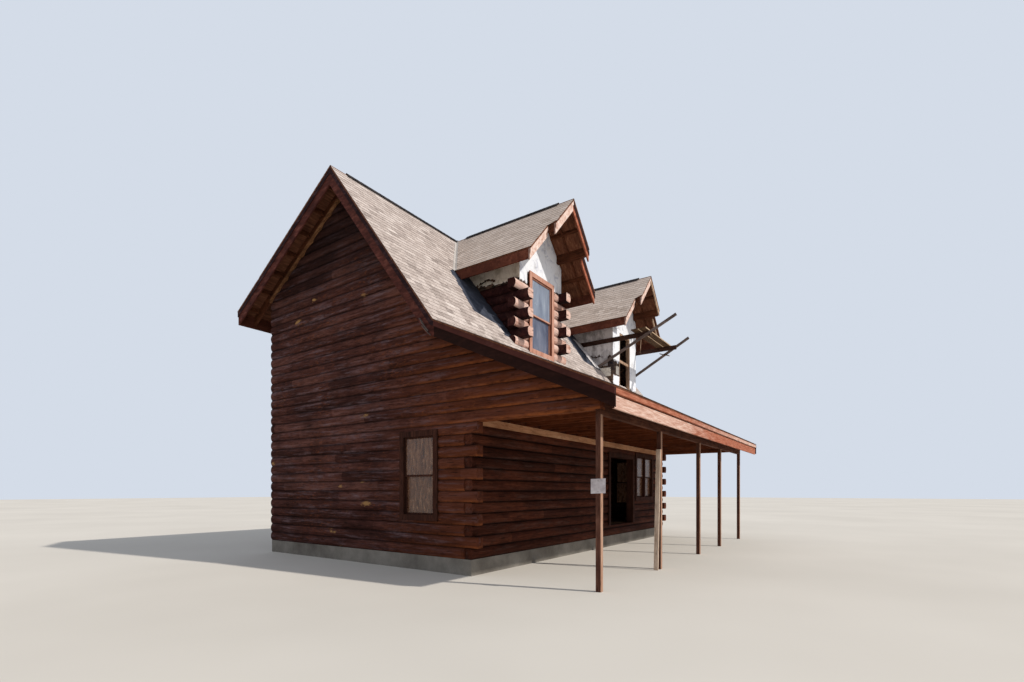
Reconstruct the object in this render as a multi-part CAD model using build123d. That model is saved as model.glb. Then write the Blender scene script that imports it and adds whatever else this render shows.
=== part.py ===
from build123d import *
import math
import os

# Log cabin with a steep front roof that breaks into a full-length porch roof.
# Millimetres. X runs along the ridge, Y from the porch (minus) to the rear (plus), Z up from the ground.
# While it is being built, the near gable's log face is X = 0 and the front wall's log face is Y = 0.

# Driving dimensions of the house
house_length = 11150
house_width = 7000
foundation_height = 312
foundation_width = 300
log_pitch = 222
log_bulge = 32
log_joint_depth = 10
log_joint_half = 8
wall_thickness = 170
lower_courses = 12
log_pass = 150
floor_rise = 308
upper_floor_drop = 1233
upper_floor_thickness = 220

# Driving dimensions of the roof, each point on the shingle surface
ridge_y = 3778
ridge_z = 9080
rear_pitch = 0.605
front_pitch = 1.289
kink_y = 576
rear_eave_overhang = 937
porch_depth = 3148
porch_eave_height = 3245
gable_overhang = 460
deck_thickness = 40
rafter_depth = 235
rafter_thickness = 38
rafter_spacing = 610
fascia_thickness = 38
rake_board_depth = 270
rake_strip_depth = 90
rake_strip_step = 22
shingle_edge = 8
frieze_depth = 65
frieze_thickness = 38
lookout_depth = 89
lookout_spacing = 560

# Driving dimensions of the porch
post_size = 89
post_front_offset = 442
first_bay = 2946
post_before_door = 320
post_past_door = 170
beam_bottom = 2890
ledger_bottom = 2930
ledger_height = 140
ledger_thickness = 40
joist_height = 110
joist_thickness = 38
upper_fascia_height = 80
upper_fascia_thickness = 62
fascia_gap = 30
lower_fascia_height = 200
lower_fascia_thickness = 38

# Driving dimensions of the doors and windows
door_width = 1830
logs_over_door = 276
door_to_window = 280
frame_width = 38
casing_width = 80
casing_thickness = 30
sash_width = 38
sash_depth = 35
sash_setback = 12
glass_thickness = 6
gable_window_y = 1390
window_width = 930
window_height = 1700
window_head_drop = 165
window_rail_share = 0.5
front_window_setback = 1190
front_window_width = 1500
front_window_height = 1400
front_window_head_drop = 176
rear_window_setback = 3000
upper_window_head_drop = 490

# Driving dimensions of the dormers
dormer_near_setback = 3900
dormer_far_setback = 1590
dormer_roof_half = 1698
dormer_pitch = 1.072
dormer_wall_half = 1040
dormer_face_y = 820
dormer_rake_front = 60
dormer_peak_front = -155
dormer_peak_half = 900
dormer_board_depth = 175
dormer_strip_depth = 70
dormer_strip_step = 20
dormer_eave_fascia_height = 215
dormer_log_thickness = 190
dormer_front_pass = 235
dormer_side_pass = 290
dormer_log_drop = 2200
dormer_log_courses = 8
dormer_log_pitch = 237
dormer_log_bulge = 52
dormer_wall_thickness = 120
dormer_window_width = 1055
dormer_window_shift = -70
dormer_sill_drop = 3835
dormer_window_height = 1905
dormer_window_rail_share = 0.485
dormer_opening_width = 920
purlin_width = 110
purlin_height = 110
soffit_batten = 40
soffit_rib_y = 420

# Driving dimensions of the scaffold at the second dormer and the loose board
scaffold_beam_drop = 2385
scaffold_beam_height = 150
scaffold_board = 38
scaffold_reaches = (520, 700)
scaffold_back = 2600
brace_width = 89
brace_feet_y = (1322, 1192)
brace_tips_y = (-1350, -1119)
brace_tip_drops = (1870, 2034)
plank_width = 235
plank_fronts = (-215, -480)
plank_overhang = 340
loose_board_width = 89
loose_board_length = 2520
loose_board_lean = 150

# Sizes that follow from the driving dimensions
plate_z = foundation_height + lower_courses * log_pitch
floor_z = foundation_height + floor_rise
upper_floor_z = ridge_z - front_pitch * (ridge_y - kink_y) - upper_floor_drop
rear_eave_y = house_width + rear_eave_overhang
mid_x = house_length / 2
post_y = -porch_depth + post_front_offset + post_size / 2
front_window_left = house_length - front_window_setback - front_window_width
front_window_sill = plate_z - front_window_head_drop - front_window_height
window_sill = plate_z - window_head_drop - window_height
door_left = front_window_left - door_to_window - door_width
door_height = plate_z - logs_over_door - floor_z
post_xs = (
    post_size / 2,
    post_size / 2 + first_bay,
    door_left - post_before_door,
    door_left + door_width + post_past_door,
    house_length - post_size / 2,
)
dormer_centres = (dormer_near_setback, house_length - dormer_far_setback)
rear_window_places = (rear_window_setback, house_length - rear_window_setback)
wall_top_depth = deck_thickness + rafter_depth
rake_depth = deck_thickness + rake_board_depth
dormer_window_size = (
    dormer_window_width,
    dormer_window_height,
    dormer_log_thickness,
    dormer_window_rail_share,
    dormer_log_bulge,
)
dormer_window_x = dormer_centres[0] + dormer_window_shift
dormer_log_top = ridge_z - dormer_log_drop
dormer_base = dormer_log_top - dormer_log_courses * dormer_log_pitch
dormer_window_sill = ridge_z - dormer_sill_drop
scaffold_beam_z = ridge_z - scaffold_beam_drop


def rear_line(y):
    return ridge_z - rear_pitch * (y - ridge_y)


def front_line(y):
    return ridge_z - front_pitch * (ridge_y - y)


kink_z = front_line(kink_y)
porch_pitch = (kink_z - porch_eave_height) / (kink_y + porch_depth)


def porch_line(y):
    return kink_z - porch_pitch * (kink_y - y)


def drop(depth, pitch):
    """Vertical distance that a depth square to a slope takes."""
    return depth * math.hypot(1, pitch)


upper_window_head = rear_line(house_width) - drop(wall_top_depth, rear_pitch) - upper_window_head_drop
upper_window_sill = upper_window_head - window_height


def roof_points(depth, rear_end=rear_eave_y, porch_end=-porch_depth):
    """The roof's line in Y and Z, from rear eave to porch eave, at a depth under the shingles."""
    rear_drop = drop(depth, rear_pitch)
    front_drop = drop(depth, front_pitch)
    porch_drop = drop(depth, porch_pitch)
    top_y = ridge_y + (front_drop - rear_drop) / (front_pitch + rear_pitch)
    top_z = front_line(top_y) - front_drop
    break_y = kink_y - (porch_drop - front_drop) / (front_pitch - porch_pitch)
    break_z = front_line(break_y) - front_drop
    return [
        (rear_end, rear_line(rear_end) - rear_drop),
        (top_y, top_z),
        (break_y, break_z),
        (porch_end, porch_line(porch_end) - porch_drop),
    ]


def prism_yz(points, x0, x1):
    """A solid with its outline in Y and Z, from x0 to x1."""
    return Pos(x0, 0, 0) * extrude(Plane.YZ * make_face(Polyline(*points, close=True)), amount=x1 - x0)


def prism_xz(points, y0, y1):
    """A solid with its outline in X and Z, from y0 to y1."""
    return Pos(0, y1, 0) * extrude(Plane.XZ * make_face(Polyline(*points, close=True)), amount=y1 - y0)


def block(x0, x1, y0, y1, z0, z1):
    """A box between six planes."""
    size = (x1 - x0, y1 - y0, z1 - z0)
    return Pos(x0, y0, z0) * Box(*size, align=(Align.MIN, Align.MIN, Align.MIN))


def joined(shapes):
    """Several touching solids fused into one piece."""
    return shapes[0].fuse(*shapes[1:]).clean() if len(shapes) > 1 else shapes[0]


def apart(shapes):
    """Several solids kept apart in one node."""
    return Compound([solid for shape in shapes for solid in shape.solids()])


def mirrored(shape):
    """The same piece at the far gable."""
    return mirror(shape, about=Plane.YZ.offset(mid_x))


def log_profile(face, out, thickness, z0, pitch, bulge):
    """A milled log's end: flat inside, rounded towards out, with half an open joint above and below."""
    z1 = z0 + pitch
    inner = face - out * thickness
    joint = face - out * log_joint_depth
    low = z0 + log_joint_half
    high = z1 - log_joint_half
    return make_face([
        Line((inner, z0), (inner, z1)),
        Line((inner, z1), (joint, z1)),
        Line((joint, z1), (face, high)),
        ThreePointArc((face, high), (face + out * bulge, (z0 + z1) / 2), (face, low)),
        Line((face, low), (joint, z0)),
        Line((joint, z0), (inner, z0)),
    ])


def log_along_x(face_y, out, thickness, x0, x1, z0, pitch=log_pitch, bulge=log_bulge):
    """One log beside a face at face_y, from x0 to x1."""
    profile = Plane.YZ * log_profile(face_y, out, thickness, z0, pitch, bulge)
    return Pos(x0, 0, 0) * extrude(profile, amount=x1 - x0)


def log_along_y(face_x, out, thickness, y0, y1, z0, pitch=log_pitch, bulge=log_bulge):
    """One log beside a face at face_x, from y0 to y1."""
    profile = Plane.XZ * log_profile(face_x, out, thickness, z0, pitch, bulge)
    return Pos(0, y1, 0) * extrude(profile, amount=y1 - y0)


def course_z(course):
    return foundation_height + course * log_pitch


def foundation():
    outer = block(0, house_length, 0, house_width, 0, foundation_height)
    inner = block(
        foundation_width, house_length - foundation_width,
        foundation_width, house_width - foundation_width, 0, foundation_height,
    )
    return outer - inner


def ground_floor():
    return block(
        wall_thickness, house_length - wall_thickness,
        wall_thickness, house_width - wall_thickness,
        foundation_height, floor_z,
    )


def upper_floor():
    return block(
        wall_thickness, house_length - wall_thickness,
        wall_thickness, house_width - wall_thickness,
        upper_floor_z - upper_floor_thickness, upper_floor_z,
    )


def gable_window_hole(width=window_width, height=window_height):
    return block(
        -4 * log_bulge, wall_thickness * 1.5,
        gable_window_y - width / 2, gable_window_y + width / 2,
        window_sill, window_sill + height,
    )


def gable_logs():
    """Lower half of the near gable: every second log runs on past the front corner."""
    logs = []
    for course in range(lower_courses):
        front_end = -log_pass if course % 2 else wall_thickness
        logs.append(log_along_y(0, -1, wall_thickness, front_end, house_width, course_z(course)))
    return joined(logs) - gable_window_hole()


def gable_siding():
    """Upper half of the near gable, which runs on past the front wall to close the porch's end."""
    count = math.ceil((ridge_z - plate_z) / log_pitch)
    beam_front = post_y - post_size / 2
    under = roof_points(wall_top_depth)
    logs = [
        log_along_y(0, -1, wall_thickness, beam_front, house_width, plate_z + course * log_pitch)
        for course in range(count)
    ]
    outline = [
        (house_width, plate_z),
        (house_width, rear_line(house_width) - drop(wall_top_depth, rear_pitch)),
        under[1],
        under[2],
        (beam_front, porch_line(beam_front) - drop(wall_top_depth, porch_pitch)),
        (beam_front, plate_z),
    ]
    return joined(logs) & prism_yz(outline, -2 * log_bulge, wall_thickness)


def front_logs(x0, x1, corner_left, corner_right):
    """Front wall logs between x0 and x1, with corner ends where the piece reaches a gable."""
    logs = []
    for course in range(lower_courses):
        passes = course % 2 == 0
        left = x0 if not corner_left else (0 if passes else wall_thickness)
        right = x1 if not corner_right else house_length - (0 if passes else wall_thickness)
        logs.append(log_along_x(0, -1, wall_thickness, left, right, course_z(course)))
    return joined(logs)


def front_window_hole():
    return block(
        front_window_left, front_window_left + front_window_width,
        -4 * log_bulge, wall_thickness * 1.5,
        front_window_sill, front_window_sill + front_window_height,
    )


def front_wall_left():
    return front_logs(0, door_left, True, False)


def front_wall_right():
    return front_logs(door_left + door_width, house_length, False, True) - front_window_hole()


def front_wall_over_door():
    head = floor_z + door_height
    logs = [
        log_along_x(0, -1, wall_thickness, door_left, door_left + door_width, course_z(course))
        for course in range(lower_courses)
        if course_z(course + 1) > head
    ]
    keep = block(door_left, door_left + door_width, -2 * log_bulge, wall_thickness, head, plate_z)
    return joined(logs) & keep


def front_wall_under_door():
    logs = [
        log_along_x(0, -1, wall_thickness, door_left, door_left + door_width, course_z(course))
        for course in range(2)
    ]
    keep = block(door_left, door_left + door_width, -2 * log_bulge, wall_thickness, 0, floor_z)
    return joined(logs) & keep


def front_upper_wall():
    """The part of the front wall above the porch ceiling, up to the porch rafters."""
    top_front = porch_line(0) - drop(wall_top_depth, porch_pitch)
    top_back = porch_line(wall_thickness) - drop(wall_top_depth, porch_pitch)
    count = math.ceil((top_back - plate_z) / log_pitch)
    logs = [
        log_along_x(0, -1, wall_thickness, wall_thickness, house_length - wall_thickness,
                    plate_z + course * log_pitch)
        for course in range(count)
    ]
    outline = [
        (-2 * log_bulge, plate_z),
        (wall_thickness, plate_z),
        (wall_thickness, top_back),
        (-2 * log_bulge, top_front - 2 * log_bulge * porch_pitch),
    ]
    return joined(logs) & prism_yz(outline, 0, house_length)


def rear_window_hole(x, sill):
    return block(
        x - window_width / 2, x + window_width / 2,
        house_width - wall_thickness * 1.5, house_width + 4 * log_bulge,
        sill, sill + window_height,
    )


def rear_wall_lower():
    logs = [
        log_along_x(house_width, 1, wall_thickness, wall_thickness, house_length - wall_thickness,
                    course_z(course))
        for course in range(lower_courses)
    ]
    wall = joined(logs)
    for x in rear_window_places:
        wall -= rear_window_hole(x, window_sill)
    return wall


def rear_wall_upper():
    inner = house_width - wall_thickness
    outer = house_width + 2 * log_bulge
    top_inner = rear_line(inner) - drop(wall_top_depth, rear_pitch)
    top_outer = rear_line(outer) - drop(wall_top_depth, rear_pitch)
    count = math.ceil((top_inner - plate_z) / log_pitch)
    logs = [
        log_along_x(house_width, 1, wall_thickness, wall_thickness, house_length - wall_thickness,
                    plate_z + course * log_pitch)
        for course in range(count)
    ]
    outline = [(inner, plate_z), (outer, plate_z), (outer, top_outer), (inner, top_inner)]
    wall = joined(logs) & prism_yz(outline, 0, house_length)
    for x in rear_window_places:
        wall -= rear_window_hole(x, upper_window_sill)
    return wall


def roof_slab(part):
    """One slope of shingles and boards: 0 is the rear, 1 the front, 2 the porch."""
    top = roof_points(0)
    under = roof_points(deck_thickness)
    outline = [top[part], top[part + 1], under[part + 1], under[part]]
    return prism_yz(outline, -gable_overhang, house_length + gable_overhang)


def dormer_void(centre):
    """The opening through the main roof between a dormer's side walls."""
    inner = dormer_wall_half - dormer_log_thickness
    back = ridge_y - (ridge_z - dormer_under(dormer_wall_half)) / front_pitch
    return block(centre - inner, centre + inner, dormer_face_y, back, plate_z, ridge_z)


def dormer_under(offset):
    """Height of a dormer's deck underside, this far from its centre."""
    return ridge_z - dormer_pitch * offset - drop(deck_thickness, dormer_pitch)


def main_roof_front():
    slab = roof_slab(1)
    for centre in dormer_centres:
        slab -= dormer_void(centre)
    return slab


def rafter_xs():
    count = math.floor((house_length - 2 * rafter_thickness) / rafter_spacing)
    places = [rafter_spacing * (index + 1) for index in range(count)]
    inside = [x for x in places if x < house_length - 3 * rafter_thickness]
    return [rafter_thickness / 2] + inside + [house_length - rafter_thickness / 2]


def rafters(part):
    """All rafters of one slope, cut plumb where two slopes meet."""
    tail = fascia_thickness + shingle_edge
    porch_tail = -porch_depth + shingle_edge + upper_fascia_thickness
    top = roof_points(deck_thickness, rear_eave_y - tail, porch_tail)
    under = roof_points(wall_top_depth, rear_eave_y - tail, porch_tail)
    outline = [top[part], top[part + 1], under[part + 1], under[part]]
    boards = []
    for x in rafter_xs():
        board = prism_yz(outline, x - rafter_thickness / 2, x + rafter_thickness / 2)
        if part == 1:
            for centre in dormer_centres:
                board -= dormer_void(centre)
        boards.append(board)
    return apart(boards)


def slope_places(start, end):
    """Evenly spread places along a slope, clear of both ends."""
    count = max(2, round(abs(end - start) / lookout_spacing))
    return [start + (end - start) * (index + 0.5) / count for index in range(count)]


def lookouts():
    """Short blocks that carry the gable overhang, from the end rafter to the rake board."""
    outer = -gable_overhang + shingle_edge + rake_strip_step + fascia_thickness
    blocks = []
    slopes = (
        (rear_line, rear_pitch, -1, slope_places(ridge_y, rear_eave_y)),
        (front_line, front_pitch, 1, slope_places(ridge_y, kink_y)),
        (porch_line, porch_pitch, 1, slope_places(kink_y, -porch_depth)),
    )
    for line, pitch, rise, places in slopes:
        step = rafter_thickness / math.hypot(1, pitch) / 2
        for y in places:
            high = drop(deck_thickness, pitch)
            low = drop(deck_thickness + lookout_depth, pitch)
            outline = [
                (y - step, line(y - step) - high),
                (y + step, line(y + step) - high),
                (y + step, line(y + step) - low),
                (y - step, line(y - step) - low),
            ]
            blocks.append(prism_yz(outline, outer, 0))
    near = list(blocks)
    return apart(near + [mirrored(piece) for piece in near])


def frieze_strips(siding):
    """Raw strips scribed to the gable logs, right under the rear overhang's end rafter."""
    top = wall_top_depth
    low = wall_top_depth + frieze_depth
    start = roof_points(top)[1]
    bottom = roof_points(low)[1]
    outline = [
        (start[0], start[1]),
        (house_width, rear_line(house_width) - drop(top, rear_pitch)),
        (house_width, rear_line(house_width) - drop(low, rear_pitch)),
        (bottom[0], bottom[1]),
    ]
    strip = prism_yz(outline, -log_bulge - frieze_thickness, 0) - siding
    return apart([strip, mirrored(strip)])


def rake_band(high, low, x0, x1):
    """A board along the whole near gable edge, between two depths, from rear eave to porch eave."""
    top = roof_points(high, rear_eave_y - shingle_edge, -porch_depth + shingle_edge)
    under = roof_points(low, rear_eave_y - shingle_edge, -porch_depth + shingle_edge)
    return prism_yz(top + under[::-1], x0, x1)


def rake_fascia():
    """The rake board with a narrower strip over its upper edge."""
    strip_face = -gable_overhang + shingle_edge
    board_face = strip_face + rake_strip_step
    back = board_face + fascia_thickness
    strip = rake_band(deck_thickness, deck_thickness + rake_strip_depth, strip_face, back)
    board = rake_band(deck_thickness, rake_depth, board_face, back)
    return strip.fuse(board)


def rear_eave_fascia():
    inner = rear_eave_y - shingle_edge - fascia_thickness
    outer = rear_eave_y - shingle_edge
    high = drop(deck_thickness, rear_pitch)
    bottom = rear_line(outer) - drop(rake_depth, rear_pitch)
    edge = gable_overhang - shingle_edge - rake_strip_step - fascia_thickness
    outline = [
        (inner, rear_line(inner) - high),
        (outer, rear_line(outer) - high),
        (outer, bottom),
        (inner, bottom),
    ]
    return prism_yz(outline, -edge, house_length + edge)


def porch_fascia():
    """Two boards along the porch eave with an open joint between them."""
    front = -porch_depth + shingle_edge
    back = front + upper_fascia_thickness
    high = drop(deck_thickness, porch_pitch)
    edge = gable_overhang - shingle_edge - rake_strip_step - fascia_thickness
    upper_bottom = porch_line(front) - high - upper_fascia_height
    lower_top = upper_bottom - fascia_gap
    upper = [
        (front, porch_line(front) - high),
        (back, porch_line(back) - high),
        (back, upper_bottom),
        (front, upper_bottom),
    ]
    lower = block(
        -edge, house_length + edge, back - lower_fascia_thickness, back,
        lower_top - lower_fascia_height, lower_top,
    )
    return apart([prism_yz(upper, -edge, house_length + edge), lower])


def porch_posts():
    half = post_size / 2
    return apart([block(x - half, x + half, post_y - half, post_y + half, 0, beam_bottom) for x in post_xs])


def porch_beam():
    front = post_y - post_size / 2
    back = post_y + post_size / 2
    fall = drop(wall_top_depth, porch_pitch)
    outline = [
        (front, beam_bottom),
        (back, beam_bottom),
        (back, porch_line(back) - fall),
        (front, porch_line(front) - fall),
    ]
    beam = prism_yz(outline, 0, house_length)
    notch = block(0, wall_thickness, 2 * front, back + post_size, plate_z, ridge_z)
    return beam - notch - mirrored(notch)


def porch_ledger(walls):
    """The board that carries the ceiling joists, scribed to the logs behind it."""
    front = -log_bulge - ledger_thickness
    board = block(
        wall_thickness, house_length - wall_thickness, front, wall_thickness / 2,
        ledger_bottom, ledger_bottom + ledger_height,
    )
    for wall in walls:
        board -= wall
    return board


def porch_ceiling_joists():
    """Level joists beside the porch rafters, from the beam to the top of the ledger."""
    beam_back = post_y + post_size / 2
    bottom = ledger_bottom + ledger_height
    edge = wall_thickness + joist_thickness
    side = rafter_thickness / 2
    return apart([
        block(x + side, x + side + joist_thickness, beam_back, -log_bulge, bottom, bottom + joist_height)
        for x in rafter_xs() if edge < x < house_length - 2 * edge
    ])


def doorway_frame():
    """Jambs and head of the open doorway, with a casing on the porch side."""
    right = door_left + door_width
    head = floor_z + door_height
    front = -log_bulge - casing_thickness
    lining = block(door_left, right, front, wall_thickness, floor_z, head)
    passage = block(
        door_left + frame_width, right - frame_width, 2 * front, 2 * wall_thickness,
        floor_z, head - frame_width,
    )
    casing = block(
        door_left - casing_width, right + casing_width, front, -log_bulge, floor_z, head + casing_width,
    )
    return casing.fuse(lining) - passage


def window_sashes(height, share, crown):
    """Bottom, top and back of both sashes, which meet at this share of the height."""
    middle = height * share
    upper_back = sash_setback + sash_depth - crown
    lower_back = upper_back + sash_depth
    return (
        (middle - sash_width / 2, height - frame_width, upper_back),
        (frame_width, middle + sash_width / 2, lower_back),
    )


def window_frame(width, height, thickness, share=window_rail_share, crown=log_bulge):
    """A double-hung window about its sill centre: outside is minus Y, logs' crests at Y = -crown."""
    front = -crown - casing_thickness
    half = width / 2
    casing = block(-half - casing_width, half + casing_width, front, -crown,
                   -casing_width, height + casing_width)
    lining = block(-half, half, front, thickness, 0, height)
    inner = half - frame_width
    light = block(-inner, inner, 2 * front, 2 * thickness, frame_width, height - frame_width)
    frame = casing.fuse(lining) - light
    rails = []
    for z0, z1, back in window_sashes(height, share, crown):
        sash = block(-inner, inner, back - sash_depth, back, z0, z1)
        pane = block(-inner + sash_width, inner - sash_width, back - 2 * sash_depth, back + sash_depth,
                     z0 + sash_width, z1 - sash_width)
        rails.append(sash - pane)
    return joined([frame] + rails)


def window_glass(width, height, share=window_rail_share, crown=log_bulge):
    """The two panes of a double-hung window, one in each sash."""
    inner = width / 2 - frame_width - sash_width
    panes = []
    for z0, z1, back in window_sashes(height, share, crown):
        centre = back - sash_depth / 2
        panes.append(block(-inner, inner, centre - glass_thickness / 2, centre + glass_thickness / 2,
                           z0 + sash_width, z1 - sash_width))
    return panes


def place_on_gable(shape):
    """A window built about its sill centre, set into the near gable."""
    return Pos(0, gable_window_y, window_sill) * Rot(0, 0, -90) * shape


def place_on_rear(shape, x, sill):
    return Pos(x, house_width, sill) * Rot(0, 0, 180) * shape


def front_window_units():
    """Two equal windows side by side fill the front window's hole."""
    unit = front_window_width / 2
    centres = (front_window_left + unit / 2, front_window_left + unit * 3 / 2)
    return unit, centres


def lower_window_frames():
    frame = window_frame(window_width, window_height, wall_thickness)
    near = place_on_gable(frame)
    rear = [place_on_rear(frame, x, window_sill) for x in rear_window_places]
    unit, centres = front_window_units()
    twin = window_frame(unit, front_window_height, wall_thickness)
    outer_half = unit / 2
    keep = [
        block(-outer_half - casing_width, outer_half, -wall_thickness, 2 * wall_thickness,
              -casing_width, front_window_height + casing_width),
        block(-outer_half, outer_half + casing_width, -wall_thickness, 2 * wall_thickness,
              -casing_width, front_window_height + casing_width),
    ]
    pair = [Pos(x, 0, front_window_sill) * (twin & cut) for x, cut in zip(centres, keep)]
    return apart([near, mirrored(near)] + rear + [joined(pair)])


def lower_window_glass():
    panes = window_glass(window_width, window_height)
    near = [place_on_gable(pane) for pane in panes]
    rear = [place_on_rear(pane, x, window_sill) for x in rear_window_places for pane in panes]
    unit, centres = front_window_units()
    twin = window_glass(unit, front_window_height)
    front = [Pos(x, 0, front_window_sill) * pane for x in centres for pane in twin]
    return apart(near + [mirrored(pane) for pane in near] + rear + front)


def upper_window_frames():
    frame = window_frame(window_width, window_height, wall_thickness)
    return apart([place_on_rear(frame, x, upper_window_sill) for x in rear_window_places])


def upper_window_glass():
    panes = window_glass(window_width, window_height)
    return apart([place_on_rear(pane, x, upper_window_sill) for x in rear_window_places for pane in panes])


def under_main_roof():
    """Everything below the shingles of the front and porch slopes."""
    top = roof_points(0)
    far = -2 * porch_depth
    outline = [top[1], top[2], (far, porch_line(far)), (far, -ridge_z), (ridge_y, -ridge_z)]
    return prism_yz(outline, -2 * gable_overhang, house_length + 2 * gable_overhang)


def chevron(centre, half, high, low, y0, y1):
    """A gable-shaped band between two depths under the dormer's shingles."""
    high_drop = drop(high, dormer_pitch)
    low_drop = drop(low, dormer_pitch)
    edge = ridge_z - dormer_pitch * half
    outline = [
        (centre - half, edge - high_drop),
        (centre, ridge_z - high_drop),
        (centre + half, edge - high_drop),
        (centre + half, edge - low_drop),
        (centre, ridge_z - low_drop),
        (centre - half, edge - low_drop),
    ]
    return prism_xz(outline, y0, y1)


def dormer_roof(centre):
    """Shingled gable roof whose top part steps forward past the lower part."""
    back = chevron(centre, dormer_roof_half, 0, deck_thickness, dormer_rake_front, ridge_y)
    peak = chevron(centre, dormer_peak_half, 0, deck_thickness, dormer_peak_front, dormer_rake_front)
    return back.fuse(peak) - under_main_roof()


def roof_around(centre):
    """The main roof and all below it, less the dormer's opening."""
    return under_main_roof() - dormer_void(centre)


def dormer_envelope(centre):
    """All that lies under a dormer's deck and clear of the main roof."""
    half = 2 * dormer_wall_half
    peak = dormer_under(0)
    edge = dormer_under(half)
    outline = [(centre - half, edge), (centre, peak), (centre + half, edge),
               (centre + half, plate_z), (centre - half, plate_z)]
    return prism_xz(outline, -porch_depth, ridge_y) - roof_around(centre)


def dormer_window_hole(middle, width):
    front = dormer_face_y - dormer_side_pass
    back = dormer_face_y + 2 * dormer_log_thickness
    return block(
        middle - width / 2, middle + width / 2, front, back,
        dormer_window_sill, dormer_window_sill + dormer_window_height,
    )


def dormer_logs(centre):
    """Three log walls: front logs run on past both corners, and in every second course side logs do.

    One more course stands on the right only, beside the window.
    """
    left = centre - dormer_wall_half
    right = centre + dormer_wall_half
    thick = dormer_log_thickness
    size = (dormer_log_pitch, dormer_log_bulge)
    behind_front = dormer_face_y + thick
    past_front = dormer_face_y - dormer_side_pass
    logs = []
    for course in range(dormer_log_courses):
        z0 = dormer_log_top - (course + 1) * dormer_log_pitch
        front_passes = course % 2 == 0
        reach = dormer_front_pass if front_passes else -thick
        start = behind_front if front_passes else past_front
        logs.append(log_along_x(dormer_face_y, -1, thick, left - reach, right + reach, z0, *size))
        if course < dormer_log_courses - 1:
            logs.append(log_along_y(left, -1, thick, start, ridge_y, z0, *size))
            logs.append(log_along_y(right, 1, thick, start, ridge_y, z0, *size))
    window_right = dormer_window_x + dormer_window_width / 2
    logs.append(log_along_x(dormer_face_y, -1, thick, window_right, right - thick, dormer_log_top, *size))
    logs.append(log_along_y(right, 1, thick, past_front, ridge_y, dormer_log_top, *size))
    hole = dormer_window_hole(dormer_window_x, dormer_window_width)
    return (joined(logs) - roof_around(centre)) - hole


def dormer_wrapped(centre, bottom, thick, hole):
    """Sheathed walls under the dormer's roof, from this height up."""
    left = centre - dormer_wall_half
    right = centre + dormer_wall_half
    walls = block(left, right, dormer_face_y, ridge_y, bottom, ridge_z)
    room = block(left + thick, right - thick, dormer_face_y + thick, 2 * ridge_y, 0, 2 * ridge_z)
    shell = (walls - room) & dormer_envelope(centre)
    return shell - hole


def dormer_one_wrapped(centre):
    """The first dormer's wrapped walls leave room for the one log course on the right."""
    hole = dormer_window_hole(dormer_window_x, dormer_window_width)
    walls = dormer_wrapped(centre, dormer_log_top, dormer_wall_thickness, hole)
    extra_course = block(
        dormer_window_x + dormer_window_width / 2, centre + 2 * dormer_wall_half,
        -porch_depth, 2 * ridge_y, 0, dormer_log_top + dormer_log_pitch,
    )
    return walls - extra_course


def dormer_two_wrapped(centre):
    hole = dormer_window_hole(centre, dormer_opening_width)
    return dormer_wrapped(centre, dormer_base, dormer_wall_thickness, hole)


def dormer_board_pair(centre, half, low, front):
    """A board with a narrower strip over its upper edge, on both slopes of a dormer."""
    face = front + dormer_strip_step
    back = face + fascia_thickness
    strip = chevron(centre, half, deck_thickness, deck_thickness + dormer_strip_depth, front, back)
    board = chevron(centre, half, deck_thickness, low, face, back)
    return strip.fuse(board)


def dormer_rake_boards(centre):
    """Boards on the stepped gable edge: two on the lower part and two on the peak."""
    edge = dormer_roof_half - shingle_edge
    low = deck_thickness + dormer_board_depth
    lower = dormer_board_pair(centre, edge, low, dormer_rake_front + shingle_edge)
    gap = block(centre - dormer_peak_half, centre + dormer_peak_half, -porch_depth, ridge_y, 0, 2 * ridge_z)
    peak = dormer_board_pair(centre, dormer_peak_half - shingle_edge, low, dormer_peak_front + shingle_edge)
    halves = []
    for side in (-1, 1):
        half_space = block(
            min(centre, centre + side * 2 * edge), max(centre, centre + side * 2 * edge),
            -porch_depth, ridge_y, 0, 2 * ridge_z,
        )
        halves.append((side, (lower - gap) & half_space, peak & half_space))
    return halves


def dormer_one_rake_boards(centre):
    boards = []
    for side, lower, peak in dormer_rake_boards(centre):
        boards.append(lower)
    peaks = [peak for side, lower, peak in dormer_rake_boards(centre)]
    return apart(boards + [joined(peaks)])


def dormer_two_rake_boards(centre):
    """The second dormer has lost its right boards."""
    side, lower, peak = dormer_rake_boards(centre)[0]
    return apart([lower, peak])


def dormer_eave_fascia(centre):
    """Boards along both eaves, from behind the rake board to the main roof."""
    outer = dormer_roof_half - shingle_edge
    inner = outer - fascia_thickness
    front = dormer_rake_front + shingle_edge + dormer_strip_step + fascia_thickness
    high = drop(deck_thickness, dormer_pitch)
    bottom = ridge_z - dormer_pitch * outer - high - dormer_eave_fascia_height
    boards = []
    for side in (-1, 1):
        outline = [
            (centre + side * outer, ridge_z - dormer_pitch * outer - high),
            (centre + side * inner, ridge_z - dormer_pitch * inner - high),
            (centre + side * inner, bottom),
            (centre + side * outer, bottom),
        ]
        boards.append(prism_xz(outline, front, ridge_y) - under_main_roof())
    return apart(boards)


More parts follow.
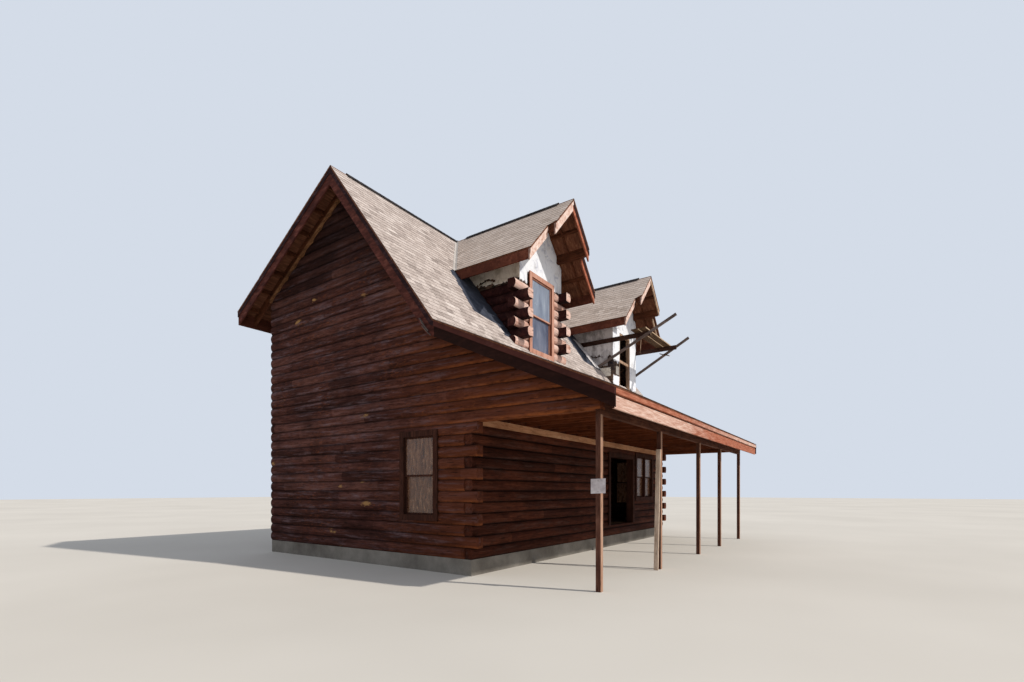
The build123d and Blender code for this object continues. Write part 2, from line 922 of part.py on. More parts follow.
def dormer_purlins(centre):
    """Purlins under the step of the roof and battens between them, from the face to the rake boards."""
    step_front = dormer_rake_front + shingle_edge + dormer_strip_step + fascia_thickness
    peak_back = dormer_peak_front + shingle_edge + dormer_strip_step + fascia_thickness
    half = dormer_roof_half - shingle_edge - fascia_thickness
    low = deck_thickness + soffit_batten
    pieces = [chevron(centre, half, deck_thickness, low, soffit_rib_y, soffit_rib_y + soffit_batten)]
    for side in (-1, 1):
        outer = dormer_peak_half
        inner = outer - purlin_width
        purlin_bottom = dormer_under(outer) - purlin_height
        outline = [
            (centre + side * outer, dormer_under(outer)),
            (centre + side * inner, dormer_under(inner)),
            (centre + side * inner, purlin_bottom),
            (centre + side * outer, purlin_bottom),
        ]
        pieces.append(prism_xz(outline, peak_back, dormer_face_y))
        for offset in ((dormer_roof_half + dormer_peak_half) / 2, dormer_peak_half / 2):
            outside = offset > dormer_peak_half
            far = offset + soffit_batten / 2
            near = offset - soffit_batten / 2
            thick = drop(soffit_batten, dormer_pitch)
            outline = [
                (centre + side * far, dormer_under(far)),
                (centre + side * near, dormer_under(near)),
                (centre + side * near, dormer_under(near) - thick),
                (centre + side * far, dormer_under(far) - thick),
            ]
            front = step_front if outside else peak_back
            batten = prism_xz(outline, front, ridge_y if outside else dormer_face_y)
            pieces.append(batten - under_main_roof())
    return joined(pieces)


def place_on_dormer(shape):
    return Pos(dormer_window_x, dormer_face_y, dormer_window_sill) * shape


def dormer_window_frame(centre):
    return place_on_dormer(window_frame(*dormer_window_size)) - roof_around(centre)


def dormer_window_glass():
    panes = window_glass(dormer_window_width, dormer_window_height, dormer_window_rail_share, dormer_log_bulge)
    return apart([place_on_dormer(pane) for pane in panes])


def dormer_two_framing(centre):
    """Bare studs and head left in the second dormer's window opening."""
    half = dormer_opening_width / 2
    top = dormer_window_sill + dormer_window_height
    front = dormer_face_y
    back = dormer_face_y + dormer_wall_thickness
    ring = block(centre - half, centre + half, front, back, dormer_window_sill, top)
    light = block(centre - half + scaffold_board, centre + half - scaffold_board, front - back, 2 * back,
                  dormer_window_sill + scaffold_board, top - scaffold_board)
    return ring - light


def scaffold_beams():
    """Two boards on edge that run out past the second dormer's side walls."""
    centre = dormer_centres[1]
    pieces = []
    for side, reach in zip((-1, 1), scaffold_reaches):
        wall = centre + side * dormer_wall_half
        outer = wall + side * scaffold_board
        beam = block(min(wall, outer), max(wall, outer), -reach, scaffold_back,
                     scaffold_beam_z, scaffold_beam_z + scaffold_beam_height)
        pieces.append(beam - under_main_roof())
    return apart(pieces)


def scaffold_brace(foot_y, tip_y, tip_drop, x0, x1):
    """One board from the main roof up past its beam's outer end."""
    foot_z = front_line(foot_y)
    tip_z = ridge_z - tip_drop
    run = foot_y - tip_y
    rise = tip_z - foot_z
    length = math.hypot(run, rise)
    along_y = -run / length
    along_z = rise / length
    side_y = -along_z * brace_width / 2
    side_z = along_y * brace_width / 2
    start_y = foot_y - along_y * brace_width * 3
    start_z = foot_z - along_z * brace_width * 3
    outline = [
        (start_y + side_y, start_z + side_z),
        (tip_y + side_y, tip_z + side_z),
        (tip_y - side_y, tip_z - side_z),
        (start_y - side_y, start_z - side_z),
    ]
    return prism_yz(outline, x0, x1) - under_main_roof()


def scaffold_braces():
    """The left brace is longer than the right one."""
    pieces = []
    ends = zip((-1, 1), brace_feet_y, brace_tips_y, brace_tip_drops)
    for side, foot_y, tip_y, tip_drop in ends:
        inner = dormer_centres[1] + side * (dormer_wall_half + scaffold_board)
        outer = inner + side * scaffold_board
        pieces.append(scaffold_brace(foot_y, tip_y, tip_drop, min(inner, outer), max(inner, outer)))
    return apart(pieces)


def scaffold_planks():
    centre = dormer_centres[1]
    half = dormer_wall_half + scaffold_board + plank_overhang
    top = scaffold_beam_z + scaffold_beam_height
    return apart([
        block(centre - half, centre + half, front, front + plank_width, top, top + scaffold_board)
        for front in plank_fronts
    ])


def leaning_board():
    """A loose board that stands on the ground and leans on the second post."""
    post_side = post_xs[1] - post_size / 2
    board_thickness = scaffold_board
    rise = math.sqrt(loose_board_length ** 2 - loose_board_lean ** 2)
    across = board_thickness * loose_board_length / rise
    outline = [
        (post_side - loose_board_lean - across, 0),
        (post_side - loose_board_lean, 0),
        (post_side, rise),
        (post_side - across, rise),
    ]
    return prism_xz(outline, post_y - loose_board_width / 2, post_y + loose_board_width / 2)


def build_pieces():
    first, second = dormer_centres
    near_logs = gable_logs()
    near_siding = gable_siding()
    near_rake = rake_fascia()
    front_walls = [front_wall_left(), front_wall_right(), front_wall_over_door(), front_upper_wall()]
    return {
        "foundation": foundation(),
        "ground_floor": ground_floor(),
        "upper_floor": upper_floor(),
        "left_gable_logs": near_logs,
        "left_gable_siding": near_siding,
        "right_gable_logs": mirrored(near_logs),
        "right_gable_siding": mirrored(near_siding),
        "front_wall_left": front_walls[0],
        "front_wall_right": front_walls[1],
        "front_wall_over_door": front_walls[2],
        "front_wall_under_door": front_wall_under_door(),
        "front_upper_wall": front_walls[3],
        "rear_wall_lower": rear_wall_lower(),
        "rear_wall_upper": rear_wall_upper(),
        "main_roof_rear": roof_slab(0),
        "main_roof_front": main_roof_front(),
        "porch_roof": roof_slab(2),
        "rear_rafters": rafters(0),
        "front_rafters": rafters(1),
        "porch_rafters": rafters(2),
        "gable_lookouts": lookouts(),
        "frieze_strips": frieze_strips(near_siding),
        "left_rake_fascia": near_rake,
        "right_rake_fascia": mirrored(near_rake),
        "rear_eave_fascia": rear_eave_fascia(),
        "porch_fascia": porch_fascia(),
        "porch_posts": porch_posts(),
        "porch_beam": porch_beam(),
        "porch_ledger": porch_ledger(front_walls),
        "porch_ceiling_joists": porch_ceiling_joists(),
        "doorway_frame": doorway_frame(),
        "lower_window_frames": lower_window_frames(),
        "lower_window_glass": lower_window_glass(),
        "upper_window_frames": upper_window_frames(),
        "upper_window_glass": upper_window_glass(),
        "dormer_1_logs": dormer_logs(first),
        "dormer_1_wrapped_walls": dormer_one_wrapped(first),
        "dormer_1_window_frame": dormer_window_frame(first),
        "dormer_1_window_glass": dormer_window_glass(),
        "dormer_2_wrapped_walls": dormer_two_wrapped(second),
        "dormer_2_window_framing": dormer_two_framing(second),
        "dormer_roofs": apart([dormer_roof(first), dormer_roof(second)]),
        "dormer_rake_boards": apart([dormer_one_rake_boards(first), dormer_two_rake_boards(second)]),
        "dormer_eave_fascia": apart([dormer_eave_fascia(first), dormer_eave_fascia(second)]),
        "dormer_purlins": apart([dormer_purlins(first), dormer_purlins(second)]),
        "scaffold_beams": scaffold_beams(),
        "scaffold_braces": scaffold_braces(),
        "scaffold_planks": scaffold_planks(),
        "leaning_board": leaning_board(),
    }


os.makedirs("parts", exist_ok=True)
pieces = build_pieces()

# The part's origin is on the ground under the middle of its bounding box.
low_y = -porch_depth
high_y = rear_eave_y
shift = Pos(-mid_x, -(low_y + high_y) / 2, 0)
for name, shape in pieces.items():
    export_step(shift * shape, f"parts/{name}.step")
    print(name, len(shape.solids()))
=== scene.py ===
import math
import random

import bpy
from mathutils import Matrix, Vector, noise


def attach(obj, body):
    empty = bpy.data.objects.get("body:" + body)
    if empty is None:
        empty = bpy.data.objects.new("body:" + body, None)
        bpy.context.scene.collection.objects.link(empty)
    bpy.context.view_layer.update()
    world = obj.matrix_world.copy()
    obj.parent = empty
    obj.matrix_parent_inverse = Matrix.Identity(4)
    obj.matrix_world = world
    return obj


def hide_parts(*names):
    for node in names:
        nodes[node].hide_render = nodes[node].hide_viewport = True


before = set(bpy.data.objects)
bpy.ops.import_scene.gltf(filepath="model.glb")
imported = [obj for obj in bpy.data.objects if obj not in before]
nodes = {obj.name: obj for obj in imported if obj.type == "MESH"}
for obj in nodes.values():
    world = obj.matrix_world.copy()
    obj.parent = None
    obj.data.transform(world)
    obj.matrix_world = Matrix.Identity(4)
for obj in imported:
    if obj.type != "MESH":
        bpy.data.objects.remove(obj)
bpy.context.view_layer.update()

# The house's own axes start at the near front corner; this shift brings them to the row's frame
shift_x = -5.575
shift_y = -2.3945

# Roof lines in metres, as the solids have them: a pitch is rise over run, a slant is length over run
house_length = 11.15
overhang = 0.46
ridge_y = 3.778
ridge_z = 9.08
rear_pitch = 0.605
rear_eave_y = 7.937
front_pitch = 1.289
kink_y = 0.576
kink_z = ridge_z - front_pitch * (ridge_y - kink_y)
porch_eave_y = -3.148
porch_eave_z = 3.245
porch_pitch = (kink_z - porch_eave_z) / (kink_y - porch_eave_y)
deck = 0.04
front_slant = math.hypot(1, front_pitch)
roof_start_x = -overhang
roof_width = house_length + 2 * overhang

# Dormers
centres = (3.9, 9.56)
dormer_pitch = 1.072
dormer_slant = math.hypot(1, dormer_pitch)
roof_half = 1.698
wall_half = 1.04
dormer_wall = 0.19
face_y = 0.82
rake_front = 0.06
peak_front = -0.155
peak_half = 0.9
dormer_log_top = 6.88
void_back_y = 2.867
void_runs = (ridge_y - void_back_y, ridge_y - face_y)
window_half = 0.46
window_sill_z = 5.245
window_rise = 1.905
window_rail_share = 0.485
first_window_shift = -0.07
first_window_half = 0.62
first_window_zs = (5.1, 7.23)

# Courses of logs, each the lowest one's bottom and the pitch; logs in a course are this long
wall_courses = (0.312, 0.222)
dormer_courses = (4.984, 0.237)
log_length = 3.7

# Trim
rake_strip_x = -shift_x + overhang - 0.019
strip_thickness = 0.018
lower_strip_y = rake_front + strip_thickness + shift_y
peak_strip_y = peak_front + strip_thickness + shift_y
strip_break = 0.1
porch_gap_z = 3.11

# Where shingles are missing beside the dormers' walls: narrow below the step, wider above it
bare_front_y = (0.86, 1.24)
bare_step_y = 1.24
bare_back_y = 2.36
bare_low_width = 0.44
bare_low_tear = 0.22
bare_high_width = 0.88
bare_high_tear = 0.1
bare_widening = 0.3
bare_right_width = 0.9
membrane_width = 1.36
membrane_strip = 0.33
membrane_step = 0.3
membrane_depth = 0.0095
membrane_rise = 0.003
membrane_thickness = 0.0015
membrane_end = (0.1, 0.06)

# Shingles and plywood
exposure = 0.142
lap_share = 0.4
lap_depth = 0.0086
tab_width = 0.23
tab_shares = (0.7, 1.35)
tab_gap = 0.004
tab_tone = (0.5, 0.19)
tab_lift = 0.0016
tab_droop = 0.004
smallest_tab = 0.015
shingle_thickness = 0.0048
shingle_depth = 0.014
panel_length = 2.44
panel_width = 1.22
panel_gap = 0.005
smallest_panel = 0.01
band_inset = 0.001

# Ridge caps, the vent under them, and the metal in the valleys
cap_exposure = 0.14
cap_overlap = 1.35
cap_half = 0.12
cap_setback = 0.44
cap_rise = 0.005
vent_height = 0.026
vent_half = 0.1
vent_inset = 0.015
skin = 0.001
valley_half = 0.055
valley_skins = (0.001, 0.004)

# Building wrap and where it is torn: heights of its lower edges, and the tear on the first dormer's side
sheet_thickness = 0.0015
sheet_lift = 0.005
soffit_gap = 0.02
roof_gap = 0.03
scrap_ripple = 0.03
scrap_cell = 0.02
first_foot_z = dormer_log_top + 0.012
first_side_z = dormer_log_top + 0.03
first_side_rise = (1.5, 0.1)
first_right_side_z = dormer_log_top + 0.27
tear_ys = (1.55, 2.15)
tear_z = 7.06
tear_half = 0.028
second_left_foot_z = 6.12
second_right_foot_z = 5.3
second_side_z = 6.2
second_side_rise = 0.16
skirt_width = 0.5
skirt_back_y = 2.1
skirt_seed = 41.0

# Scraps of wrap: place from the second dormer's left front corner and the ground, way, size, seed
wrap_scraps = (
    ("low_scrap", "wrap", (0.02, 0.0, 5.27), (1, 0, 0), (0.5, 0.34), 31.0),
    ("middle_scrap", "old_wrap", (0.26, 0.0, 5.66), (1, 0, 0), (0.26, 0.3), 33.0),
    ("eave_scrap", "wrap", (-0.02, -0.12, 7.16), (1, 0, 0), (0.42, 0.36), 35.0),
    ("side_scrap", "soiled_wrap", (0.0, 0.8, 5.92), (0, -1, 0), (0.62, 0.34), 37.0),
    ("side_low_scrap", "old_wrap", (0.0, 0.48, 5.56), (0, -1, 0), (0.42, 0.3), 39.0),
)

# Raw rafters at the second dormer: near and far end from its middle, front, depths of both edges
bare_rafters = (
    ("bare_peak_rafter", 0.03, peak_half - 0.02, peak_front + 0.01, 0.0, 0.085),
    ("bare_lower_rafter", 0.98, 1.56, rake_front + 0.06, 0.03, 0.1),
)
rafter_thickness = 0.038

# Loose boards: start, end, width, thickness, material
rail_y = face_y + 0.05
opening_xs = (centres[1] - window_half, centres[1] + window_half)
opening_rail = ((opening_xs[0], rail_y, 6.21), (opening_xs[1], rail_y, 6.19), 0.085, 0.038, "raw")
hanging_strip = ((9.8, 0.3, 6.99), (9.66, 0.28, 6.5), 0.025, 0.008, "raw")
nailed_scrap = ((10.62, -0.1, 6.62), (10.62, -0.45, 6.5), 0.09, 0.02, "planks")

# Splinters at the near rake's kink: Y and Z where each starts and ends
kink_splinters = ((0.93, 5.02, 0.78, 4.82), (0.88, 4.93, 0.7, 4.74), (0.86, 4.86, 0.66, 4.66))
splinter_x = roof_start_x + 0.004
splinter_lean = 0.012
splinter_size = (0.05, 0.012)
splinter_fray = 0.05
splinter_strands = 5

# The plate on the near post and its screws, whose rings are steps outward and radii
plate_width = 0.26
plate_height = 0.24
plate_foot = 1.6
plate_thickness = 0.004
plate_tilt = 0.008
plate_edge = 0.001
post_from_eave = 0.4865
screw_inset = 0.03
screw_rings = ((0.0, 0.008), (0.0025, 0.0065), (0.0035, 0.002))
screw_sides = 10

# Floor and light
floor_half = 120.0
floor_drop = 0.002
daylight = (222, 230, 244)
daylight_strength = 0.64
backdrop_colour = (212, 220, 232)
sun_strength = 3.0
sun_width = 1.2
sun_colour = (1.0, 0.95, 0.88)
sun_way = (0.28, -1.0, 0.92)

# Camera, from the photograph's perspective
eye = (-7.543, -6.218, 1.65)
heading = 34.907
lens_px = 505.9
image_width = 1024
image_height = 682
horizon_row = 490.6
sensor = 36.0
view_end = 500

up = Vector((0, 0, 1))
rear_fall = Vector((0, 1, -rear_pitch))
front_fall = Vector((0, -1, -front_pitch))
rng = random.Random(7)
materials = {}


def row(x, y, z):
    """A point of the house in the row's frame."""
    return Vector((x + shift_x, y + shift_y, z))


def srgb(red, green, blue):
    """A colour from its 0 to 255 screen values."""
    def linear(value):
        value = value / 255
        return value / 12.92 if value <= 0.04045 else ((value + 0.055) / 1.055) ** 2.4
    return (linear(red), linear(green), linear(blue))


class Nodes:
    """A short way to write a node tree."""

    def __init__(self, tree):
        self.tree = tree

    def feed(self, socket, value):
        """Links another socket or sets a plain value."""
        if isinstance(value, bpy.types.NodeSocket):
            self.tree.links.new(value, socket)
        else:
            socket.default_value = value

    def node(self, kind, **inputs):
        made = self.tree.nodes.new("ShaderNode" + kind)
        for name, value in inputs.items():
            self.feed(made.inputs[name.replace("_", " ")], value)
        return made

    def math(self, operation, a, b=None):
        made = self.node("Math")
        made.operation = operation
        self.feed(made.inputs[0], a)
        if b is not None:
            self.feed(made.inputs[1], b)
        return made.outputs[0]


class Shader(Nodes):
    """A material of layered colours. Plain colours are screen values from 0 to 255."""

    def __init__(self, name):
        self.name = name
        self.material = bpy.data.materials.new(name)
        self.material.use_nodes = True
        super().__init__(self.material.node_tree)
        self.bsdf = self.tree.nodes["Principled BSDF"].inputs
        texture = self.node("TexCoord")
        self.coords = texture.outputs["Object"]
        self.x, self.y, self.z = self.split(self.coords)
        self.facing = self.split(texture.outputs["Normal"])
        self.colour = None

    def split(self, source):
        return self.node("SeparateXYZ", Vector=source).outputs

    def scaled(self, scale):
        return self.node("Mapping", Vector=self.coords, Scale=scale).outputs["Vector"]

    def noise(self, scale, detail, rough, distortion=0.0, stretch=(1, 1, 1)):
        made = self.node("TexNoise", Vector=self.scaled(stretch), Scale=scale, Detail=detail,
                         Roughness=rough, Distortion=distortion)
        return made.outputs["Fac"]

    def cells(self, scale, stretch):
        """Irregular cells: outputs with each one's distance and colour."""
        return self.node("TexVoronoi", Vector=self.scaled(stretch), Scale=scale).outputs

    def random(self, value):
        """A random number from 0 to 1 for each whole number."""
        made = self.node("TexWhiteNoise")
        made.noise_dimensions = "1D"
        self.feed(made.inputs["W"], value)
        return made.outputs["Value"]

    def tab_tones(self):
        """The tone that a tab's corners carry."""
        made = self.node("Attribute")
        made.attribute_name = "tab_tone"
        return made.outputs["Fac"]

    def between(self, value, start, end, low=0.0, high=1.0):
        """Low at start, high at end, held outside."""
        made = self.node("MapRange", Value=value, From_Min=start, From_Max=end, To_Min=low, To_Max=high)
        return made.outputs["Result"]

    def ramp(self, source, places, colours):
        made = self.node("ValToRGB", Fac=source)
        elements = made.color_ramp.elements
        while len(elements) < len(places):
            elements.new(0.5)
        for element, place, colour in zip(elements, places, colours):
            element.position = place
            element.color = (*srgb(*colour), 1.0)
        return made.outputs["Color"]

    def times(self, a, b):
        return self.math("MULTIPLY", a, b)

    def plus(self, a, b):
        return self.math("ADD", a, b)

    def mix(self, colour, other, mask, amount=1.0, shade=1.0):
        """The other colour over the first, by mask and amount; a plain one is darkened by shade."""
        if isinstance(other, tuple):
            other = (*(value * shade for value in srgb(*other)), 1.0)
        made = self.node("Mix")
        made.data_type = "RGBA"
        self.feed(made.inputs[0], mask if amount == 1.0 else self.times(mask, amount))
        self.feed(made.inputs[6], colour)
        self.feed(made.inputs[7], other)
        return made.outputs[2]

    def lay(self, other, mask, amount=1.0, shade=1.0):
        self.colour = self.mix(self.colour, other, mask, amount, shade)

    def bump(self, height, strength, distance):
        made = self.node("Bump", Height=height, Strength=strength, Distance=distance)
        self.feed(self.bsdf["Normal"], made.outputs["Normal"])

    def finish(self, roughness, metallic=0.0, specular=0.06):
        self.feed(self.bsdf["Base Color"], self.colour)
        self.feed(self.bsdf["Roughness"], roughness)
        self.feed(self.bsdf["Metallic"], metallic)
        self.feed(self.bsdf["Specular IOR Level"], specular)
        materials[self.name] = self.material


# Wood
def log_places(s, along, course):
    """Where a point is across its course, and a random number for its log."""
    base, pitch = course
    position = s.math("DIVIDE", s.plus(s.z, -base), pitch)
    number = s.math("FLOOR", position)
    offset = s.times(s.random(number), log_length)
    log = s.math("DIVIDE", s.plus(s.x if along == "x" else s.y, offset), log_length)
    own = s.random(s.plus(s.times(number, 7.31), s.math("FLOOR", log)))
    return s.math("FRACT", position), own


def fleck_mask(s, mottle):
    """Few torn patches, where bark or bare wood shows."""
    spots = s.cells(1.7, (0.02, 0.55, 1.3))
    torn = s.plus(spots["Distance"], s.times(mottle, 0.75))
    some = s.math("GREATER_THAN", s.split(spots["Color"])[0], 0.8)
    return s.times(s.between(torn, 0.49, 0.42), some)


def wood(name, along, tones, stretch=14.0, course=None, joint=0.0, worn=None, worn_amount=0.0,
         bleached_and_lit=None, rust=None, flecks=None, top_shade=None, porch_end=None):
    """Sawn or milled wood: grain along one axis, drying cracks, stains, and each log's own tone."""
    s = Shader(name)
    dark = tones[0]
    squeeze = [1 if axis == along else stretch for axis in "xyz"]

    def grain(scale, detail, rough, distortion=0.0, share=1.0, power=1.0):
        return s.noise(scale, detail, rough, distortion, [share * v ** power for v in squeeze])

    fibres = grain(3.2, 8.0, 0.68, 0.3)
    streaks = grain(1.4, 5.0, 0.6, 0.6, share=0.35)
    mottle = grain(3.4, 7.0, 0.7, power=0.4)
    blotches = s.noise(0.9, 4.0, 0.6)
    tone = s.plus(s.times(fibres, 0.55), s.times(streaks, 0.45))
    if course:
        place, own = log_places(s, along, course)
        tone = s.plus(tone, s.times(s.plus(own, -0.5), 0.2))
    s.colour = s.ramp(tone, (0.28, 0.5, 0.74), tones)
    s.lay(dark, s.between(blotches, 0.42, 0.7), 0.55)
    s.lay(dark, s.between(mottle, 0.5, 0.62), 0.4)
    if porch_end:
        ends, brown, painted_bounce_colour = porch_end
        reach = s.times(s.between(s.y, *ends), s.between(streaks, 0.3, 0.6, 0.35, 1.0))
        s.lay(brown, reach, 0.75)
    if worn:
        patches = grain(5.0, 7.0, 0.7, 0.2, share=0.12)
        mask = s.times(s.between(patches, 0.5, 0.66), s.between(mottle, 0.38, 0.58))
        if porch_end:
            mask = s.times(mask, s.between(reach, 1.2, 0.0))
        s.lay(worn, mask, worn_amount)
    if rust:
        specks = grain(7.0, 6.0, 0.75, power=0.55)
        region = s.noise(0.55, 2.0, 0.5)
        mask = s.times(s.between(specks, 0.54, 0.64), s.between(region, 0.42, 0.6))
        s.lay(rust, mask, 0.6)
    # Paler tones where a face turns toward the sun: weathering and painted sunlight both
    if bleached_and_lit:
        weathered_and_lit_tone = s.ramp(tone, (0.3, 0.48, 0.68), bleached_and_lit)
        s.lay(weathered_and_lit_tone, s.between(s.facing[1], -0.25, -0.7))
    if top_shade:
        s.lay(dark, s.between(s.z, *top_shade), 0.78, shade=0.5)
    if flecks:
        s.lay(flecks, fleck_mask(s, mottle), 0.7)
    crack = s.between(grain(2.1, 2.0, 0.5, 0.1, share=1.6), 0.37, 0.33)
    s.lay(dark, crack, 0.6, shade=0.35)
    if joint:
        edge = s.math("ABSOLUTE", s.plus(place, -0.5))
        s.lay(dark, s.between(edge, 0.34, 0.5), joint, shade=0.22)
    # Painted bounce light from the ground along each course's lower edge near the porch end
    if porch_end:
        bounce_light_mask = s.times(s.times(reach, s.between(place, 0.27, 0.09)), s.between(mottle, 0.34, 0.6))
        s.lay(painted_bounce_colour, bounce_light_mask, 0.85)
    height = s.plus(fibres, s.times(streaks, 0.5))
    s.bump(s.plus(height, s.times(crack, -0.8)), 0.4, 0.006)
    s.finish(s.between(fibres, 0.3, 0.7, 0.9, 0.7))


# The gables' siding turns orange-brown towards the porch eave; there each course's lower edge also takes
# painted bounce light from the ground
porch_end_look = ((shift_y + 2.6, shift_y - 0.4), (100, 50, 25), (150, 84, 46))

# Each wood's way of the grain and its tones from dark to light
wood_tones = {
    "gable_logs": ("y", (32, 15, 12), (79, 45, 38), (122, 82, 72)),
    "wall_logs": ("x", (34, 15, 9), (76, 37, 24), (112, 62, 42)),
    "dormer_logs": ("x", (30, 17, 18), (56, 30, 30), (92, 50, 44)),
    "framing": ("y", (50, 27, 19), (92, 52, 34), (138, 86, 58)),
    "ceiling": ("y", (60, 28, 16), (110, 56, 32), (150, 86, 54)),
    "ledger": ("x", (140, 92, 64), (196, 144, 108), (228, 186, 152)),
    "raw": ("z", (132, 104, 84), (190, 160, 134), (224, 200, 176)),
    "frieze": ("y", (56, 36, 24), (124, 84, 56), (182, 138, 98)),
    "scaffold": ("y", (34, 24, 22), (64, 44, 38), (98, 72, 60)),
    "braces": ("y", (68, 58, 54), (112, 98, 92), (156, 142, 134)),
    "planks": ("x", (50, 38, 29), (90, 70, 52), (134, 110, 84)),
    # The leaning board is pale raw wood, made paler still as painted light on its shaded side
    "leaning": ("z", (150, 124, 104), (214, 190, 168), (240, 224, 206)),
    "trim": ("z", (34, 20, 16), (66, 38, 29), (98, 60, 46)),
    "dormer_trim": ("z", (100, 54, 40), (150, 92, 70), (190, 132, 104)),
    "posts": ("z", (52, 32, 26), (96, 62, 50), (140, 100, 82)),
    "beam": ("x", (48, 27, 20), (92, 56, 42), (138, 94, 72)),
    "floor_boards": ("x", (70, 52, 38), (120, 92, 66), (160, 128, 96)),
    "fascia": ("x", (60, 32, 25), (104, 58, 44), (146, 92, 72)),
}

# What lies over them; the pale tones for sides that face the sun are weathering and painted sunlight both,
# over darker base tones that stand for the shaded sides
wood_layers = {
    "gable_logs": dict(course=wall_courses, joint=0.6, worn=(126, 104, 108), worn_amount=0.75,
                       rust=(128, 70, 40), flecks=(176, 134, 84), top_shade=(5.8, 7.8),
                       porch_end=porch_end_look),
    "wall_logs": dict(course=wall_courses, joint=0.85, worn=(120, 92, 84), worn_amount=0.3),
    "dormer_logs": dict(course=dormer_courses, joint=0.35, stretch=9.0, worn=(120, 84, 72), worn_amount=0.35,
                        bleached_and_lit=((166, 114, 94), (212, 174, 158), (234, 208, 196))),
    # The frieze's near-black patches are painted shadow, breaking its light strip into pieces
    "frieze": dict(worn=(30, 20, 16), worn_amount=0.9),
    "scaffold": dict(stretch=10.0, bleached_and_lit=((92, 72, 56), (140, 116, 92), (186, 160, 132))),
    "braces": dict(stretch=10.0),
    "planks": dict(bleached_and_lit=((126, 104, 82), (182, 156, 128), (216, 194, 168))),
    "dormer_trim": dict(bleached_and_lit=((144, 92, 74), (190, 140, 120), (216, 176, 156))),
    "posts": dict(bleached_and_lit=((124, 88, 68), (168, 130, 108), (204, 172, 148))),
}


def rake():
    """The rake board is reddish brown and the strip over its upper edge is nearly black-brown."""
    s = Shader("rake")
    fibres = s.noise(3.0, 8.0, 0.68, 0.3, (14.0, 1.2, 4.0))
    patches = s.noise(1.6, 6.0, 0.65)
    board = s.ramp(fibres, (0.3, 0.52, 0.72), ((52, 28, 24), (90, 49, 42), (128, 78, 66)))
    strip = s.ramp(fibres, (0.3, 0.52, 0.74), ((28, 18, 20), (50, 32, 34), (96, 68, 68)))
    outer = s.math("GREATER_THAN", s.math("ABSOLUTE", s.x), rake_strip_x)
    porch = s.math("LESS_THAN", s.y, kink_y + shift_y)
    board = s.mix(board, (24, 13, 9), porch, 0.86)
    strip = s.mix(strip, (92, 50, 42), porch, 0.7)
    s.colour = s.mix(board, strip, outer)
    s.lay((36, 20, 18), s.between(patches, 0.45, 0.7), 0.5)
    s.bump(fibres, 0.4, 0.005)
    s.finish(0.78)


def dormer_rakes():
    """Left boards are faded pale; the first dormer's right ones are orange-brown with a dark strip; faces
    turned away from the front carry painted shade.
    """
    s = Shader("dormer_rakes")
    fibres = s.noise(3.4, 8.0, 0.7, 0.4, (3.0, 14.0, 3.0))
    patches = s.noise(2.6, 6.0, 0.7, stretch=(2.0, 2.0, 2.0))
    pale = s.ramp(fibres, (0.3, 0.5, 0.7), ((186, 142, 122), (226, 198, 184), (238, 226, 218)))
    pale = s.mix(pale, (176, 124, 104), s.between(patches, 0.5, 0.6), 0.55)
    brown = s.ramp(fibres, (0.3, 0.5, 0.72), ((112, 58, 42), (166, 98, 74), (200, 138, 112)))
    lower_strip = s.times(s.math("GREATER_THAN", s.y, peak_strip_y + strip_break),
                          s.math("LESS_THAN", s.y, lower_strip_y))
    strip = s.math("MAXIMUM", s.math("LESS_THAN", s.y, peak_strip_y), lower_strip)
    brown = s.mix(brown, (46, 34, 36), strip)
    middle = centres[0] + shift_x
    right = s.times(s.math("GREATER_THAN", s.x, middle), s.math("LESS_THAN", s.x, middle + 2 * roof_half))
    s.colour = s.mix(pale, brown, right)
    # Painted shade on faces turned away from the front
    s.lay((96, 56, 42), s.between(s.facing[1], -0.4, 0.2))
    s.bump(fibres, 0.4, 0.005)
    s.finish(0.75)


def porch_fascia():
    """Bleached at the near end, orange-brown at the far one, with painted shade where it faces sideways."""
    s = Shader("porch_fascia")
    fibres = s.noise(2.8, 8.0, 0.7, 0.3, (1.0, 14.0, 14.0))
    patches = s.noise(1.6, 6.0, 0.7, stretch=(0.6, 2.0, 2.0))
    pale = s.ramp(fibres, (0.3, 0.5, 0.7), ((160, 112, 94), (206, 168, 150), (232, 212, 200)))
    brown = s.ramp(fibres, (0.3, 0.5, 0.7), ((118, 62, 44), (164, 98, 74), (198, 140, 114)))
    shift = s.plus(s.x, s.times(s.plus(patches, -0.5), 9.0))
    lower_board = s.mix(pale, brown, s.between(shift, -3.0, 0.0))
    upper_board = s.mix(brown, pale, s.between(shift, -3.0, 4.5))
    s.colour = s.mix(lower_board, upper_board, s.math("GREATER_THAN", s.z, porch_gap_z))
    knot = s.math("LESS_THAN", s.cells(1.3, (1.0, 1.0, 4.0))["Distance"], 0.06)
    s.lay((96, 52, 38), knot, 0.7)
    # Painted shade on the ends and sides that face sideways
    s.lay((66, 36, 28), s.between(s.math("ABSOLUTE", s.facing[0]), 0.3, 0.7))
    s.bump(fibres, 0.4, 0.005)
    s.finish(0.75)


# Masonry, roofing, wrap and glass
def concrete():
    s = Shader("concrete")
    stains = s.noise(1.3, 6.0, 0.6)
    grit = s.noise(42.0, 5.0, 0.6)
    s.colour = s.ramp(stains, (0.3, 0.7), ((104, 98, 90), (164, 158, 148)))
    s.lay((88, 82, 76), grit, 0.4)
    s.bump(grit, 0.5, 0.004)
    s.finish(0.9)


